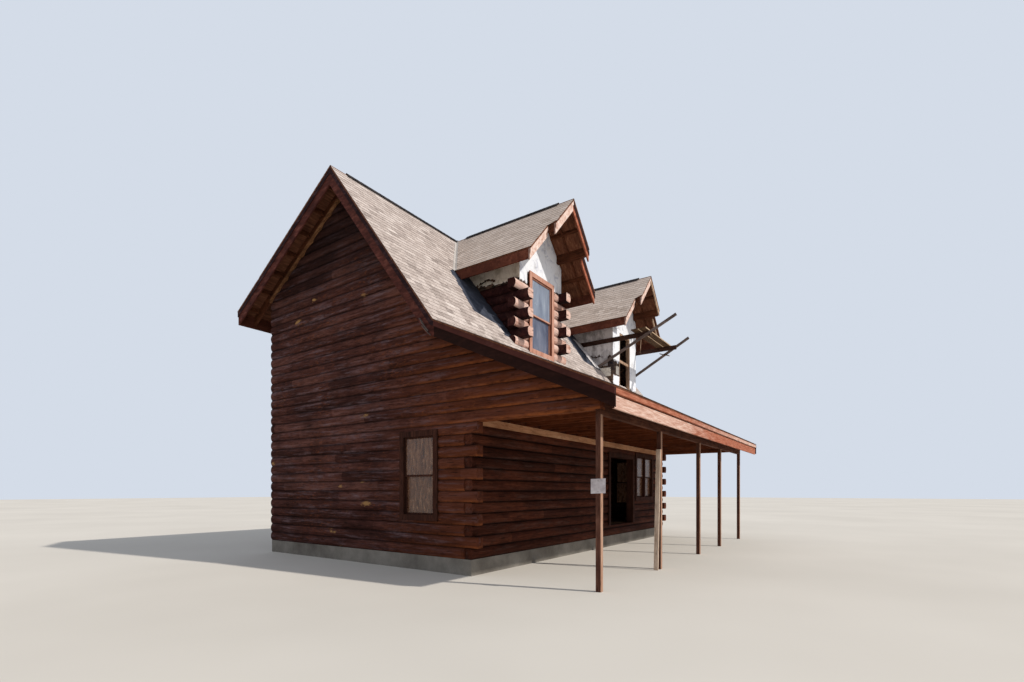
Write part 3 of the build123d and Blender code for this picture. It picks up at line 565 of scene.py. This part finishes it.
def shingles():
    s = Shader("shingles")
    patches = s.noise(0.7, 4.0, 0.6)
    granules = s.noise(160.0, 3.0, 0.7)
    streaks = s.noise(1.2, 5.0, 0.65, stretch=(4.0, 4.0, 12.0))
    dashes = s.noise(2.6, 4.0, 0.6, stretch=(5.0, 5.0, 16.0))
    tone = s.plus(s.times(s.tab_tones(), 0.6), s.times(granules, 0.4))
    s.colour = s.ramp(tone, (0.18, 0.46, 0.78), ((138, 126, 120), (188, 174, 166), (220, 208, 200)))
    s.lay((176, 162, 154), patches, 0.2)
    s.lay((134, 120, 112), s.between(dashes, 0.5, 0.62), 0.34)
    s.lay((226, 212, 200), s.between(dashes, 0.46, 0.36), 0.4)
    s.lay((124, 110, 102), s.between(streaks, 0.5, 0.68), 0.2)
    # Painted light: slopes that face sideways, as the dormers' do, are lightened and warmed
    sideways = s.between(s.math("ABSOLUTE", s.facing[0]), 0.3, 0.6)
    s.lay((226, 206, 186), sideways, 0.35)
    s.bump(granules, 0.35, 0.003)
    s.finish(0.93)


def ridge_cap():
    s = Shader("ridge_cap")
    granules = s.noise(120.0, 3.0, 0.7)
    tone = s.plus(s.times(s.tab_tones(), 0.4), s.times(granules, 0.6))
    s.bump(granules, 0.35, 0.003)
    s.colour = s.ramp(tone, (0.3, 0.7), ((34, 32, 34), (62, 58, 58)))
    s.finish(0.9)


def wrap(name, clean, painted_crease_shade, dirt_colour, dirt_start):
    """Thin pale building sheet with creases, darkened bluish in them as painted shade; where it is old,
    grey-green dirt covers it.
    """
    s = Shader(name)
    creases = s.noise(5.0, 6.0, 0.6, 0.9)
    folds = s.noise(7.0, 3.0, 0.5, 1.4, (1.0, 1.0, 0.35))
    dirt = s.noise(1.8, 7.0, 0.7, stretch=(2.0, 2.0, 1.1))
    # Creases take a darker bluish tone: painted shade
    s.colour = s.ramp(creases, (0.32, 0.47), (painted_crease_shade, clean))
    s.lay(dirt_colour, s.between(dirt, dirt_start, dirt_start + 0.2), 0.75)
    s.bump(s.plus(creases, folds), 0.45, 0.014)
    s.finish(0.55)


def sheathing():
    """Weathered board behind the sheets."""
    s = Shader("sheathing")
    chip = s.split(s.cells(14.0, (1.0, 1.0, 2.4))["Color"])[0]
    stains = s.noise(1.8, 6.0, 0.65)
    s.colour = s.ramp(chip, (0.1, 0.5, 0.9), ((52, 42, 38), (88, 70, 60), (122, 98, 80)))
    s.lay((38, 36, 44), s.between(stains, 0.45, 0.65))
    s.bump(chip, 0.3, 0.003)
    s.finish(0.85)


def plywood():
    s = Shader("plywood")
    grain = s.noise(2.6, 7.0, 0.65, 0.6, (1.0, 9.0, 3.0))
    stains = s.noise(2.2, 4.0, 0.6)
    s.colour = s.ramp(grain, (0.3, 0.55, 0.75), ((72, 42, 30), (116, 74, 54), (156, 110, 84)))
    s.lay((44, 26, 20), s.between(stains, 0.5, 0.7), 0.5)
    s.bump(grain, 0.3, 0.004)
    s.finish(0.8)


def old_glass():
    """A dusty pane: brown with pale vertical streaks, partly dust and partly a painted reflection."""
    s = Shader("old_glass")
    dust = s.noise(9.0, 6.0, 0.7)
    film_and_reflection = s.noise(3.0, 6.0, 0.7, 1.2, (7.0, 7.0, 1.2))
    # Brown with pale vertical streaks: dust, and a painted reflection
    s.colour = s.ramp(film_and_reflection, (0.34, 0.52, 0.7), ((62, 40, 28), (122, 82, 58), (186, 144, 110)))
    s.lay((112, 86, 70), dust, 0.3)
    s.bsdf["Transmission Weight"].default_value = 0.25
    s.finish(s.between(dust, 0.4, 0.75, 0.22, 0.5), specular=0.5)


def painted_sky_glass():
    """The dormer's pane: pale blue-grey, a painted sky reflection, darker in the lower sash."""
    s = Shader("painted_sky_glass")
    dust = s.noise(9.0, 6.0, 0.7)
    film_and_reflection = s.noise(1.6, 5.0, 0.6, 0.8, (1.4, 1.4, 0.5))
    # Pale blue-grey tones: a painted sky reflection
    upper = s.ramp(film_and_reflection, (0.35, 0.55, 0.72), ((112, 122, 142), (148, 158, 174), (186, 192, 200)))
    lower = s.ramp(film_and_reflection, (0.35, 0.55, 0.72), ((76, 82, 104), (104, 110, 130), (150, 150, 160)))
    rail_z = window_sill_z + window_rail_share * window_rise
    s.colour = s.mix(upper, lower, s.math("LESS_THAN", s.z, rail_z))
    s.bsdf["Transmission Weight"].default_value = 0.15
    s.finish(s.between(dust, 0.4, 0.75, 0.08, 0.35), specular=0.5)


def speckled(name, scale, dark, light, rough, metallic=0.0):
    """A plain material with fine mottling."""
    s = Shader(name)
    grain = s.noise(scale, 5.0, 0.65)
    s.bump(grain, 0.2, 0.003)
    s.colour = s.ramp(grain, (0.32, 0.68), (dark, light))
    s.finish(s.between(grain, 0.3, 0.7, rough + 0.1, rough - 0.1), metallic)


# Wraps: clean colour, painted crease shade, dirt colour, where dirt starts. Speckled ones: scale, colours,
# roughness, metal
wraps = {
    "wrap": ((244, 246, 250), (206, 210, 222), (162, 152, 142), 0.56),
    "old_wrap": ((240, 232, 218), (212, 202, 188), (166, 150, 124), 0.5),
    "soiled_wrap": ((222, 218, 218), (184, 180, 186), (112, 104, 102), 0.43),
}
speckles = {
    # shingle_edge: the tabs' butts and sides, darker than their tops, partly as painted shade along each
    # course line and rake
    "shingle_edge": (30.0, (96, 82, 76), (140, 124, 114), 0.88),
    "membrane": (5.0, (52, 56, 66), (78, 82, 94), 0.6),
    "flashing": (4.0, (176, 168, 160), (212, 204, 196), 0.5, 0.4),
    "plate": (9.0, (176, 166, 166), (214, 206, 206), 0.5),
    "screw": (60.0, (96, 84, 76), (150, 138, 128), 0.5, 0.8),
}
for name, (way, *tones) in wood_tones.items():
    wood(name, way, tones, **wood_layers.get(name, {}))
for name, look in wraps.items():
    wrap(name, *look)
for name, look in speckles.items():
    speckled(name, *look)
for make in (rake, dormer_rakes, porch_fascia, concrete, shingles, ridge_cap, sheathing, plywood, old_glass,
             painted_sky_glass):
    make()


def dress(node, material, bevel):
    """Gives a CAD node a material and, where its edges are worn, a small bevel."""
    obj = nodes[node]
    obj.data.materials.clear()
    obj.data.materials.append(materials[material])
    if bevel:
        modifier = obj.modifiers.new("worn_edges", "BEVEL")
        modifier.width = bevel
        modifier.segments = 2
        modifier.limit_method = "ANGLE"
        modifier.angle_limit = math.radians(40)


# Material, width of the worn edges, and the nodes that have them
node_looks = (
    ("concrete", 0.008, "foundation"),
    ("floor_boards", 0, "ground_floor upper_floor"),
    ("gable_logs", 0.004, "left_gable_logs right_gable_logs left_gable_siding right_gable_siding"),
    ("wall_logs", 0.004, "front_wall_left front_wall_right front_wall_over_door front_wall_under_door"),
    ("wall_logs", 0.004, "front_upper_wall rear_wall_lower rear_wall_upper"),
    ("framing", 0.002, "rear_rafters front_rafters"),
    ("framing", 0.003, "gable_lookouts dormer_purlins"),
    ("ceiling", 0.002, "porch_rafters"),
    ("ceiling", 0.003, "porch_ceiling_joists"),
    ("frieze", 0.003, "frieze_strips"),
    ("rake", 0.004, "left_rake_fascia right_rake_fascia"),
    ("fascia", 0.004, "rear_eave_fascia"),
    ("fascia", 0.003, "dormer_eave_fascia"),
    ("porch_fascia", 0.004, "porch_fascia"),
    ("posts", 0.006, "porch_posts"),
    ("beam", 0.005, "porch_beam"),
    ("ledger", 0.003, "porch_ledger"),
    ("trim", 0.003, "doorway_frame lower_window_frames upper_window_frames"),
    ("old_glass", 0, "lower_window_glass upper_window_glass"),
    ("dormer_logs", 0.006, "dormer_1_logs"),
    ("sheathing", 0, "dormer_1_wrapped_walls dormer_2_wrapped_walls"),
    ("dormer_trim", 0.003, "dormer_1_window_frame"),
    ("painted_sky_glass", 0, "dormer_1_window_glass"),
    ("raw", 0.002, "dormer_2_window_framing"),
    ("dormer_rakes", 0.003, "dormer_rake_boards"),
    ("scaffold", 0.003, "scaffold_beams"),
    ("braces", 0.003, "scaffold_braces"),
    ("planks", 0.003, "scaffold_planks"),
    ("leaning", 0.003, "leaning_board"),
)
for look, worn_edge, node_names in node_looks:
    for node_name in node_names.split():
        dress(node_name, look, worn_edge)


def placed(name, data):
    obj = bpy.data.objects.new(name, data)
    bpy.context.scene.collection.objects.link(obj)
    return obj


def make_mesh(name, points, faces, looks, face_slots=None, tones=None):
    mesh = bpy.data.meshes.new(name)
    mesh.from_pydata(points, [], faces)
    for look_name in looks:
        mesh.materials.append(materials[look_name])
    if face_slots:
        mesh.polygons.foreach_set("material_index", face_slots)
        mesh.attributes.new("tab_tone", "FLOAT", "POINT").data.foreach_set("value", tones)
    mesh.validate()
    mesh.update()
    obj = placed(name, mesh)
    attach(obj, "root")
    return obj


class Solid:
    """Collects boxes and prisms for one mesh."""

    def __init__(self):
        self.points = []
        self.faces = []
        self.slots = []
        self.tones = []

    def hull(self, corners, tone=0.5, slots=(0,) * 6):
        """Eight corners: the lower four in turn, then the upper four above them."""
        base = len(self.points)
        self.points += corners
        self.tones += [tone] * 8
        sides = ((0, 3, 2, 1), (4, 5, 6, 7), (0, 1, 5, 4), (1, 2, 6, 5), (2, 3, 7, 6), (3, 0, 4, 7))
        self.faces += [tuple(base + corner for corner in side) for side in sides]
        self.slots += slots

    def make(self, name, *looks):
        return make_mesh(name, self.points, self.faces, looks, self.slots, self.tones)


# Roof: boards and shingles on each slope
class Slope:
    """A roof plane: where its upper edge starts, the level way, the way down, and how far out it runs."""

    def __init__(self, corner, along, down, run):
        self.corner = corner
        self.along = along
        self.down = down.normalized()
        self.length = run * down.length
        normal = along.cross(down)
        self.normal = (normal if normal.z > 0 else -normal).normalized()

    def point(self, u, v, depth):
        return self.corner + self.along * u + self.down * v - self.normal * depth

    def slab(self, upper, lower, v0, v1, top0, top1, thick):
        """Eight corners of a slab whose level extent is upper at v0 and lower at v1."""
        rim = ((upper[0], v0, top0), (upper[1], v0, top0), (lower[1], v1, top1), (lower[0], v1, top1))
        return [self.point(u, v, top + extra) for extra in (thick, 0.0) for u, v, top in rim]


def clipped(u0, u1, span):
    return min(max(u0, span[0]), span[1]), min(max(u1, span[0]), span[1])


def tiles(spans, v0, v1, lead, width, gap, smallest):
    """Pieces side by side along a band: where each starts and ends at the band's upper and lower edge."""
    lower = spans(v1 - band_inset)
    upper = spans(v0 + band_inset)
    if len(upper) != len(lower):
        upper = lower
    for high, low in zip(upper, lower):
        place = min(high[0], low[0]) - lead()
        while place < max(high[1], low[1]):
            step = width()
            top = clipped(place, place + step - gap, high)
            foot = clipped(place, place + step - gap, low)
            place += step
            if max(top[1] - top[0], foot[1] - foot[0]) >= smallest:
                yield top, foot


def shingle_courses(name, node, slope, spans):
    """Overlapping courses of shingles, each tab a thin slab with its own tone."""
    solid = Solid()
    steps = (lambda: rng.random() * tab_width, lambda: tab_width * rng.uniform(*tab_shares))
    for index in range(math.ceil(slope.length / exposure)):
        v0 = index * exposure
        v1 = min(slope.length, v0 + exposure)
        hidden = min(v0, exposure * lap_share)
        for top, foot in tiles(spans, v0, v1, *steps, tab_gap, smallest_tab):
            tone = min(1.0, max(0.0, rng.gauss(*tab_tone)))
            lift = rng.uniform(0.0, tab_lift)
            drop = rng.uniform(-tab_droop, tab_droop) if v1 < slope.length else 0.0
            corners = slope.slab(top, foot, v0 - hidden, v1 + drop, lap_depth, lift, shingle_thickness)
            solid.hull(corners, tone, slots=(0, 0, 0, 1, 1, 1))
    piece = solid.make(name, "shingles", "shingle_edge")
    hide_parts(node)


def deck_panels(name, node, slope, spans, extra=()):
    """Plywood sheets under the shingles, with open joints that show from below."""
    solid = Solid()
    leads = (lambda: 0.0, lambda: panel_length / 2)
    breaks = rows_of(slope.length, extra)
    for number, (v0, v1) in enumerate(zip(breaks, breaks[1:])):
        panels = tiles(spans, v0, v1, leads[number % 2], lambda: panel_length, panel_gap, smallest_panel)
        for top, foot in panels:
            corners = slope.slab(top, foot, v0, v1 - panel_gap, shingle_depth, shingle_depth,
                                 deck - shingle_depth)
            solid.hull(corners, rng.random())
    piece = solid.make(name, "plywood")
    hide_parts(node)


def rows_of(length, extra):
    """Where plywood rows start and end down a slope, with breaks at extra places."""
    places = {0.0, length, *extra}
    places.update(index * panel_width for index in range(1, math.ceil(length / panel_width)))
    return sorted(places)


def dormer_shadow(run):
    """Half the width that a dormer hides of the front slope's shingles, this far out from the ridge."""
    valley = run * front_pitch / dormer_pitch
    if valley < roof_half:
        return valley
    return wall_half if run < ridge_y - face_y else 0.0


def bare_reach(run, side, number):
    """How far from a dormer's wall the shingles are missing, this far out from the ridge."""
    y = ridge_y - run
    if not bare_front_y[number] < y < bare_back_y:
        return 0.0
    course = math.floor(run * front_slant / exposure)
    tear = noise.noise(Vector((course * 1.7, side * 3.0, number * 5.0)))
    if y < bare_step_y:
        return bare_low_width + bare_low_tear * tear
    reach = bare_high_width + bare_widening * (bare_back_y - y) + bare_high_tear * tear
    return reach if side < 0 else min(reach, bare_right_width)


def cut_spans(low, high, holes):
    """What is left of a span after holes, each a start and an end."""
    spans = []
    place = low
    for start, end in sorted(holes):
        if end <= start:
            continue
        if start > place:
            spans.append((place, start))
        place = max(place, end)
    if place < high:
        spans.append((place, high))
    return spans


def full_width(v):
    return [(0.0, roof_width)]


def front_shingle_spans(v):
    run = v / front_slant
    half = dormer_shadow(run)
    holes = []
    for number, centre in enumerate(centres):
        middle = centre - roof_start_x
        holes.append((middle - half, middle + half))
        for side in (-1, 1):
            reach = bare_reach(run, side, number)
            wall = middle + side * wall_half
            holes.append(tuple(sorted((wall, wall + side * reach))))
    return cut_spans(0.0, roof_width, holes)


def front_deck_spans(v):
    inside = void_runs[0] < v / front_slant < void_runs[1]
    half = wall_half - dormer_wall if inside else 0.0
    middles = [centre - roof_start_x for centre in centres]
    return cut_spans(0.0, roof_width, [(middle - half, middle + half) for middle in middles])


def bare_membranes(front):
    """Dark membrane beside the dormers' walls, where shingles are missing, in overlapping strips."""
    solid = Solid()
    for centre in centres:
        for side in (-1, 1):
            wall = centre - roof_start_x + side * wall_half
            span = sorted((wall, min(wall + side * membrane_width, roof_width)))
            place = bare_back_y + membrane_end[1]
            while place > bare_front_y[0] - membrane_end[0]:
                v0 = (ridge_y - place) * front_slant
                solid.hull(front.slab(span, span, v0, v0 + membrane_strip, membrane_depth + membrane_rise,
                                      membrane_depth, membrane_thickness))
                place -= membrane_step / front_slant
    piece = solid.make("bare_membranes", "membrane")


def main_roofs():
    ridge = row(roof_start_x, ridge_y, ridge_z)
    kink = row(roof_start_x, kink_y, kink_z)
    level = Vector((1, 0, 0))
    rear = Slope(ridge, level, rear_fall, rear_eave_y - ridge_y)
    front = Slope(ridge, level, front_fall, ridge_y - kink_y)
    porch = Slope(kink, level, Vector((0, -1, -porch_pitch)), kink_y - porch_eave_y)
    shingle_courses("rear_shingles", "main_roof_rear", rear, full_width)
    shingle_courses("front_shingles", "main_roof_front", front, front_shingle_spans)
    shingle_courses("porch_shingles", "porch_roof", porch, full_width)
    bare_membranes(front)
    void_breaks = [run * front_slant for run in void_runs]
    deck_panels("rear_deck", "main_roof_rear", rear, full_width)
    deck_panels("front_deck", "main_roof_front", front, front_deck_spans, void_breaks)
    deck_panels("porch_deck", "porch_roof", porch, full_width)


def dormer_spans(v):
    """How far a dormer's slope runs from its front tip to the valley; the top part steps forward."""
    offset = v / dormer_slant
    front = peak_front if offset < peak_half else rake_front
    back = ridge_y - offset * dormer_pitch / front_pitch
    return [(front - peak_front, back - peak_front)]


def dormer_roofs():
    peak = [peak_half * dormer_slant]
    for number, centre in enumerate(centres, 1):
        for side, word in ((-1, "left"), (1, "right")):
            fall = Vector((side, 0, -dormer_pitch))
            slope = Slope(row(centre, peak_front, ridge_z), Vector((0, 1, 0)), fall, roof_half)
            shingle_courses(f"dormer_{number}_{word}_shingles", "dormer_roofs", slope, dormer_spans)
            deck_panels(f"dormer_{number}_{word}_deck", "dormer_roofs", slope, dormer_spans, peak)


def ridge_caps(name, start, end, *falls):
    """A low vent with bent cap pieces that overlap along a ridge; each fall is a direction down one side."""
    solid = Solid()
    length = (end - start).length
    way = (end - start).normalized()
    sides = [fall.normalized() * cap_half for fall in falls]
    inset = way * vent_inset
    for side in sides:
        foot = side * (vent_half / cap_half)
        corners = [start + inset, end - inset, end - inset + foot, start + inset + foot]
        solid.hull([point + up * height for height in (skin, vent_height) for point in corners])
    count = round(length / cap_exposure)
    for index in range(count):
        back = start + way * (length * (index + cap_overlap) / count)
        front = start + way * (length * index / count)
        tone = rng.random()
        for side in sides:
            corners = []
            for thick in (0.0, shingle_thickness):
                low = up * (vent_height + thick + skin)
                high = low + up * cap_rise
                corners += [back + low, front + high, front + side + high, back + side + low]
            solid.hull(corners, tone)
    piece = solid.make(name, "ridge_cap")


def all_ridge_caps():
    ridge_caps("main_ridge_caps", row(cap_setback - overhang, ridge_y, ridge_z),
               row(house_length + overhang - cap_setback, ridge_y, ridge_z), rear_fall, front_fall)
    for number, centre in enumerate(centres, 1):
        ridge_caps(f"dormer_{number}_ridge_caps", row(centre, peak_front + cap_setback, ridge_z),
                   row(centre, ridge_y - cap_setback, ridge_z),
                   Vector((-1, 0, -dormer_pitch)), Vector((1, 0, -dormer_pitch)))


def valley_wing(way, level, fall, toward):
    """Across a valley strip's one wing, which lies on the slope with this level way and this fall."""
    normal = level.cross(fall)
    out = way.cross(normal if normal.z > 0 else -normal).normalized() * valley_half
    return out if out.dot(toward) > 0 else -out


def valley_strips():
    """Bare metal in the four valleys."""
    solid = Solid()
    foot_y = ridge_y - roof_half * dormer_pitch / front_pitch
    foot_z = ridge_z - roof_half * dormer_pitch
    front = Vector((0, -1, 0))
    for centre in centres:
        for side in (-1, 1):
            top = row(centre, ridge_y, ridge_z)
            low = row(centre + side * roof_half, foot_y, foot_z)
            way = (low - top).normalized()
            sideways = Vector((side, 0, 0))
            wings = (
                valley_wing(way, sideways, front_fall, sideways),
                valley_wing(way, -front, Vector((side, 0, -dormer_pitch)), front),
            )
            for out in wings:
                corners = []
                for lift in valley_skins:
                    corners += [point + up * lift for point in (top, top + out, low + out, low)]
                solid.hull(corners)
    piece = solid.make("valley_strips", "flashing")


# Building wrap
def sheet(name, material, origin, across, size, keep, seed, ripple=0.007, cell=0.03, up=up):
    """A thin creased sheet before a wall; keep(u, v) says where it is left."""
    normal = across.cross(up)
    used = {}
    points = []
    faces = []

    def corner(i, j):
        if (i, j) not in used:
            u = i * cell
            v = j * cell
            at = Vector((u * 2.3, v * 1.6, seed))
            crease = abs(noise.noise(at)) + 0.5 * abs(noise.noise(at * 3.1))
            wobble = noise.noise(Vector((u * 9.0, v * 9.0, seed + 5.0))) * cell * 0.3
            used[(i, j)] = len(points)
            rise = normal * (sheet_lift + ripple * crease)
            points.append(origin + across * (u + wobble) + up * (v - wobble) + rise)
        return used[(i, j)]

    for j in range(math.ceil(size[1] / cell)):
        for i in range(math.ceil(size[0] / cell)):
            if keep((i + 0.5) * cell, (j + 0.5) * cell):
                faces.append((corner(i, j), corner(i + 1, j), corner(i + 1, j + 1), corner(i, j + 1)))
    piece = make_mesh(name, points, faces, [material])
    piece.data.shade_smooth()
    thick = piece.modifiers.new("thickness", "SOLIDIFY")
    thick.thickness = sheet_thickness
    thick.offset = 1.0


def ragged(place, scale, reach, seed):
    """A torn edge's offset along its length."""
    slow = noise.noise(Vector((place * scale, seed, 0.0)))
    quick = noise.noise(Vector((place * scale * 4.3, seed, 3.0)))
    return reach * (slow + 0.45 * quick)


def main_line(y):
    """Height of the front slope's shingles."""
    return ridge_z - front_pitch * (ridge_y - y)


def dormer_soffit(offset):
    """Height of a dormer roof's underside this far from its middle."""
    return ridge_z - dormer_pitch * offset - deck * dormer_slant


def front_sheet(number, centre, hole, torn):
    """The sheet on a dormer's face, around its window hole, torn along its foot."""
    left = centre - wall_half
    base = main_line(face_y)
    x0, x1, z0, z1 = hole

    def keep(u, v):
        x = left + u
        z = base + v
        in_hole = x0 < x < x1 and z0 < z < z1
        return not in_hole and torn(x) < z <= dormer_soffit(abs(x - centre)) - soffit_gap

    sheet(f"dormer_{number}_front_wrap", "wrap", row(left, face_y, base), Vector((1, 0, 0)),
          (2 * wall_half, ridge_z - base), keep, number * 3.0)


def side_sheet(number, centre, side, material, torn, gaps=None):
    """The sheet on a dormer's side wall, between the main roof and the dormer's soffit."""
    base = main_line(face_y)
    top = dormer_soffit(wall_half) - soffit_gap
    length = ridge_y - face_y

    def keep(u, v):
        y = ridge_y - u if side < 0 else face_y + u
        z = base + v
        return main_line(y) - roof_gap < z < top and z >= torn(y) and not (gaps and gaps(y, z))

    start = row(centre + side * wall_half, ridge_y if side < 0 else face_y, base)
    word = "left" if side < 0 else "right"
    sheet(f"dormer_{number}_{word}_wrap", material, start, Vector((0, side, 0)), (length, top - base), keep,
          number * 7.0 + side)


def dormer_sheets():
    one, two = centres
    middle = one + first_window_shift
    window = (middle - first_window_half, middle + first_window_half, *first_window_zs)
    opening = (*opening_xs, window_sill_z, window_sill_z + window_rise)

    def foot_one(x):
        step = dormer_courses[1] if x > one else 0.0
        return first_foot_z + step + abs(ragged(x, 6.0, 0.05, 1.0))

    def side_foot_one(y):
        start, rise = first_side_rise
        return first_side_z + abs(ragged(y, 2.6, 0.14, 2.0)) + max(0.0, y - start) * rise

    def tear_one(y, z):
        off = abs(z - tear_z - ragged(y, 3.0, 0.09, 4.0))
        return tear_ys[0] < y < tear_ys[1] and off < tear_half + ragged(y, 7.0, 0.03, 6.0)

    def foot_two(x):
        if x > two:
            return second_right_foot_z + abs(ragged(x, 6.0, 0.1, 9.0))
        return second_left_foot_z + ragged(x, 5.0, 0.16, 8.0)

    def side_foot_two(y):
        return second_side_z + ragged(y, 2.4, 0.26, 10.0) + (y - face_y) * second_side_rise

    front_sheet(1, one, window, foot_one)
    side_sheet(1, one, -1, "old_wrap", side_foot_one, tear_one)
    side_sheet(1, one, 1, "old_wrap", lambda y: first_right_side_z)
    front_sheet(2, two, opening, foot_two)
    side_sheet(2, two, -1, "soiled_wrap", side_foot_two)
    side_sheet(2, two, 1, "wrap", lambda y: second_right_foot_z)


def loose_sheets():
    """Scraps on the second dormer's walls and at its left rake end, and a flap on the roof beside it."""
    left = centres[1] - wall_half

    def scrap(reach, height, seed):
        def keep(u, v):
            side_edge = min(u, reach - u) - abs(ragged(v, 9.0, 0.03, seed))
            end_edge = min(v, height - v) - abs(ragged(u, 8.0, 0.05, seed + 1.0))
            return min(side_edge, end_edge) > 0
        return keep

    for name, material, (x, y, z), way, size, seed in wrap_scraps:
        sheet(name, material, row(left + x, face_y + y, z), Vector(way), size, scrap(*size, seed), seed,
              scrap_ripple, scrap_cell)
    corner = row(left - skirt_width, skirt_back_y, main_line(skirt_back_y))
    length = (skirt_back_y - bare_step_y) * front_slant
    sheet("roof_skirt", "soiled_wrap", corner, front_fall.normalized(), (length, skirt_width),
          scrap(length, 2 * skirt_width, skirt_seed), skirt_seed, scrap_ripple, scrap_cell,
          Vector((1, 0, 0)))


# Small boards and the plate
def stick(name, start, end, width, thick, material, fray=0.0):
    """A loose board between two points, wide across its length; a frayed one ends in splinters."""
    start = row(*start)
    end = row(*end)
    way = (end - start).normalized()
    out = way.cross(Vector((0, 1, 0))).normalized() * (width / 2)
    face = way.cross(out).normalized() * (thick / 2)
    strands = splinter_strands if fray else 1
    solid = Solid()
    for index in range(strands):
        low = out * (-1 + 2 * index / strands)
        high = out * (-1 + 2 * (index + 1) / strands)
        tip = end + way * (rng.uniform(-fray, fray) if fray else 0.0)
        corners = []
        for side in (-face, face):
            corners += [start + low + side, start + high + side, tip + high + side, tip + low + side]
        solid.hull(corners)
    piece = solid.make(name, material)


def bare_rafter(name, near, far, front, high, low):
    """Raw end rafter under the second dormer's right slope, between two distances from its middle."""
    solid = Solid()
    corners = []
    back = front + rafter_thickness
    for depth in (deck + low, deck + high):
        for offset, y in ((near, front), (far, front), (far, back), (near, back)):
            z = ridge_z - dormer_pitch * offset - depth * dormer_slant
            corners.append(row(centres[1] + offset, y, z))
    solid.hull(corners)
    piece = solid.make(name, "raw")


def small_boards():
    stick("opening_rail", *opening_rail)
    for rafter in bare_rafters:
        bare_rafter(*rafter)
    stick("hanging_strip", *hanging_strip)
    stick("nailed_scrap", *nailed_scrap)
    for index, (y0, z0, y1, z1) in enumerate(kink_splinters):
        stick(f"kink_splinter_{index}", (splinter_x, y0, z0), (splinter_x - splinter_lean, y1, z1),
              *splinter_size, "braces", splinter_fray)


def sign_screw(index, middle):
    """A domed screw head that faces away from the post."""
    points = []
    faces = []
    for ring, (out, radius) in enumerate(screw_rings):
        for step in range(screw_sides):
            turn = 2 * math.pi * step / screw_sides
            points.append(middle + Vector((-out, radius * math.cos(turn), radius * math.sin(turn))))
            if ring:
                a = (ring - 1) * screw_sides + step
                b = (ring - 1) * screw_sides + (step + 1) % screw_sides
                faces.append((a, b, b + screw_sides, a + screw_sides))
    faces.append(tuple(range(2 * screw_sides, 3 * screw_sides)))
    faces.append(tuple(reversed(range(screw_sides))))
    screw = make_mesh(f"sign_screw_{index}", points, faces, ["screw"])


def sign_plate():
    """A bare plate on the near porch post, held by two screws."""
    solid = Solid()
    y0 = porch_eave_y + post_from_eave - plate_width / 2
    y1 = y0 + plate_width
    z0 = plate_foot
    z1 = z0 + plate_height
    corners = []
    for x in (-plate_thickness, 0.0):
        corners += [row(x, y0, z0 + plate_tilt), row(x, y1, z0), row(x, y1, z1), row(x, y0, z1 + plate_tilt)]
    solid.hull(corners)
    piece = solid.make("sign_plate", "plate")
    edge = piece.modifiers.new("edge", "BEVEL")
    edge.width = plate_edge
    for index, z in enumerate((z0 + screw_inset, z1 - screw_inset)):
        sign_screw(index, row(-plate_thickness, (y0 + y1) / 2, z))


main_roofs()
dormer_roofs()
all_ridge_caps()
valley_strips()
dormer_sheets()
loose_sheets()
small_boards()
sign_plate()


# Floor, light and camera
def stage_floor():
    mesh = bpy.data.meshes.new("floor")
    corners = [(x * floor_half, y * floor_half, 0) for x, y in ((-1, -1), (1, -1), (1, 1), (-1, 1))]
    mesh.from_pydata(corners, [], [(0, 1, 2, 3)])
    s = Shader("floor")
    s.colour = s.ramp(s.noise(0.15, 3.0, 0.55), (0.3, 0.7), ((206, 200, 190), (216, 210, 200)))
    s.finish(0.95)
    mesh.materials.append(s.material)
    floor = placed("floor", mesh)
    floor.location.z = -floor_drop


def sky():
    """Daylight on the object, and a pale backdrop for the camera and for what mirrors it."""
    world = bpy.data.worlds.new("sky")
    world.use_nodes = True
    s = Nodes(world.node_tree)
    lighting = s.tree.nodes["Background"]
    lighting.inputs["Color"].default_value = (*srgb(*daylight), 1.0)
    lighting.inputs["Strength"].default_value = daylight_strength
    backdrop = s.node("Background", Color=(*srgb(*backdrop_colour), 1.0))
    path = s.node("LightPath").outputs
    seen = path["Is Camera Ray"]
    for ray in ("Is Glossy Ray", "Is Transmission Ray"):
        seen = s.math("MAXIMUM", seen, path[ray])
    shown = s.node("MixShader", Fac=seen)
    s.feed(shown.inputs[1], lighting.outputs[0])
    s.feed(shown.inputs[2], backdrop.outputs[0])
    s.feed(s.tree.nodes["World Output"].inputs["Surface"], shown.outputs[0])
    bpy.context.scene.world = world


def sunlight():
    data = bpy.data.lights.new("sun", "SUN")
    data.energy = sun_strength
    data.angle = math.radians(sun_width)
    data.color = sun_colour
    sun = placed("sun", data)
    sun.rotation_euler = Vector(sun_way).normalized().to_track_quat("Z", "Y").to_euler()


def camera():
    data = bpy.data.cameras.new("camera")
    data.sensor_width = sensor
    data.lens = lens_px / image_width * sensor
    data.shift_y = (horizon_row - image_height / 2) / image_width
    data.clip_end = view_end
    obj = placed("camera", data)
    obj.location = row(*eye)
    obj.rotation_euler = (math.radians(90), 0, math.radians(heading - 90))
    bpy.context.scene.camera = obj


stage_floor()
sky()
sunlight()
camera()
bpy.context.scene.view_settings.view_transform = "Standard"
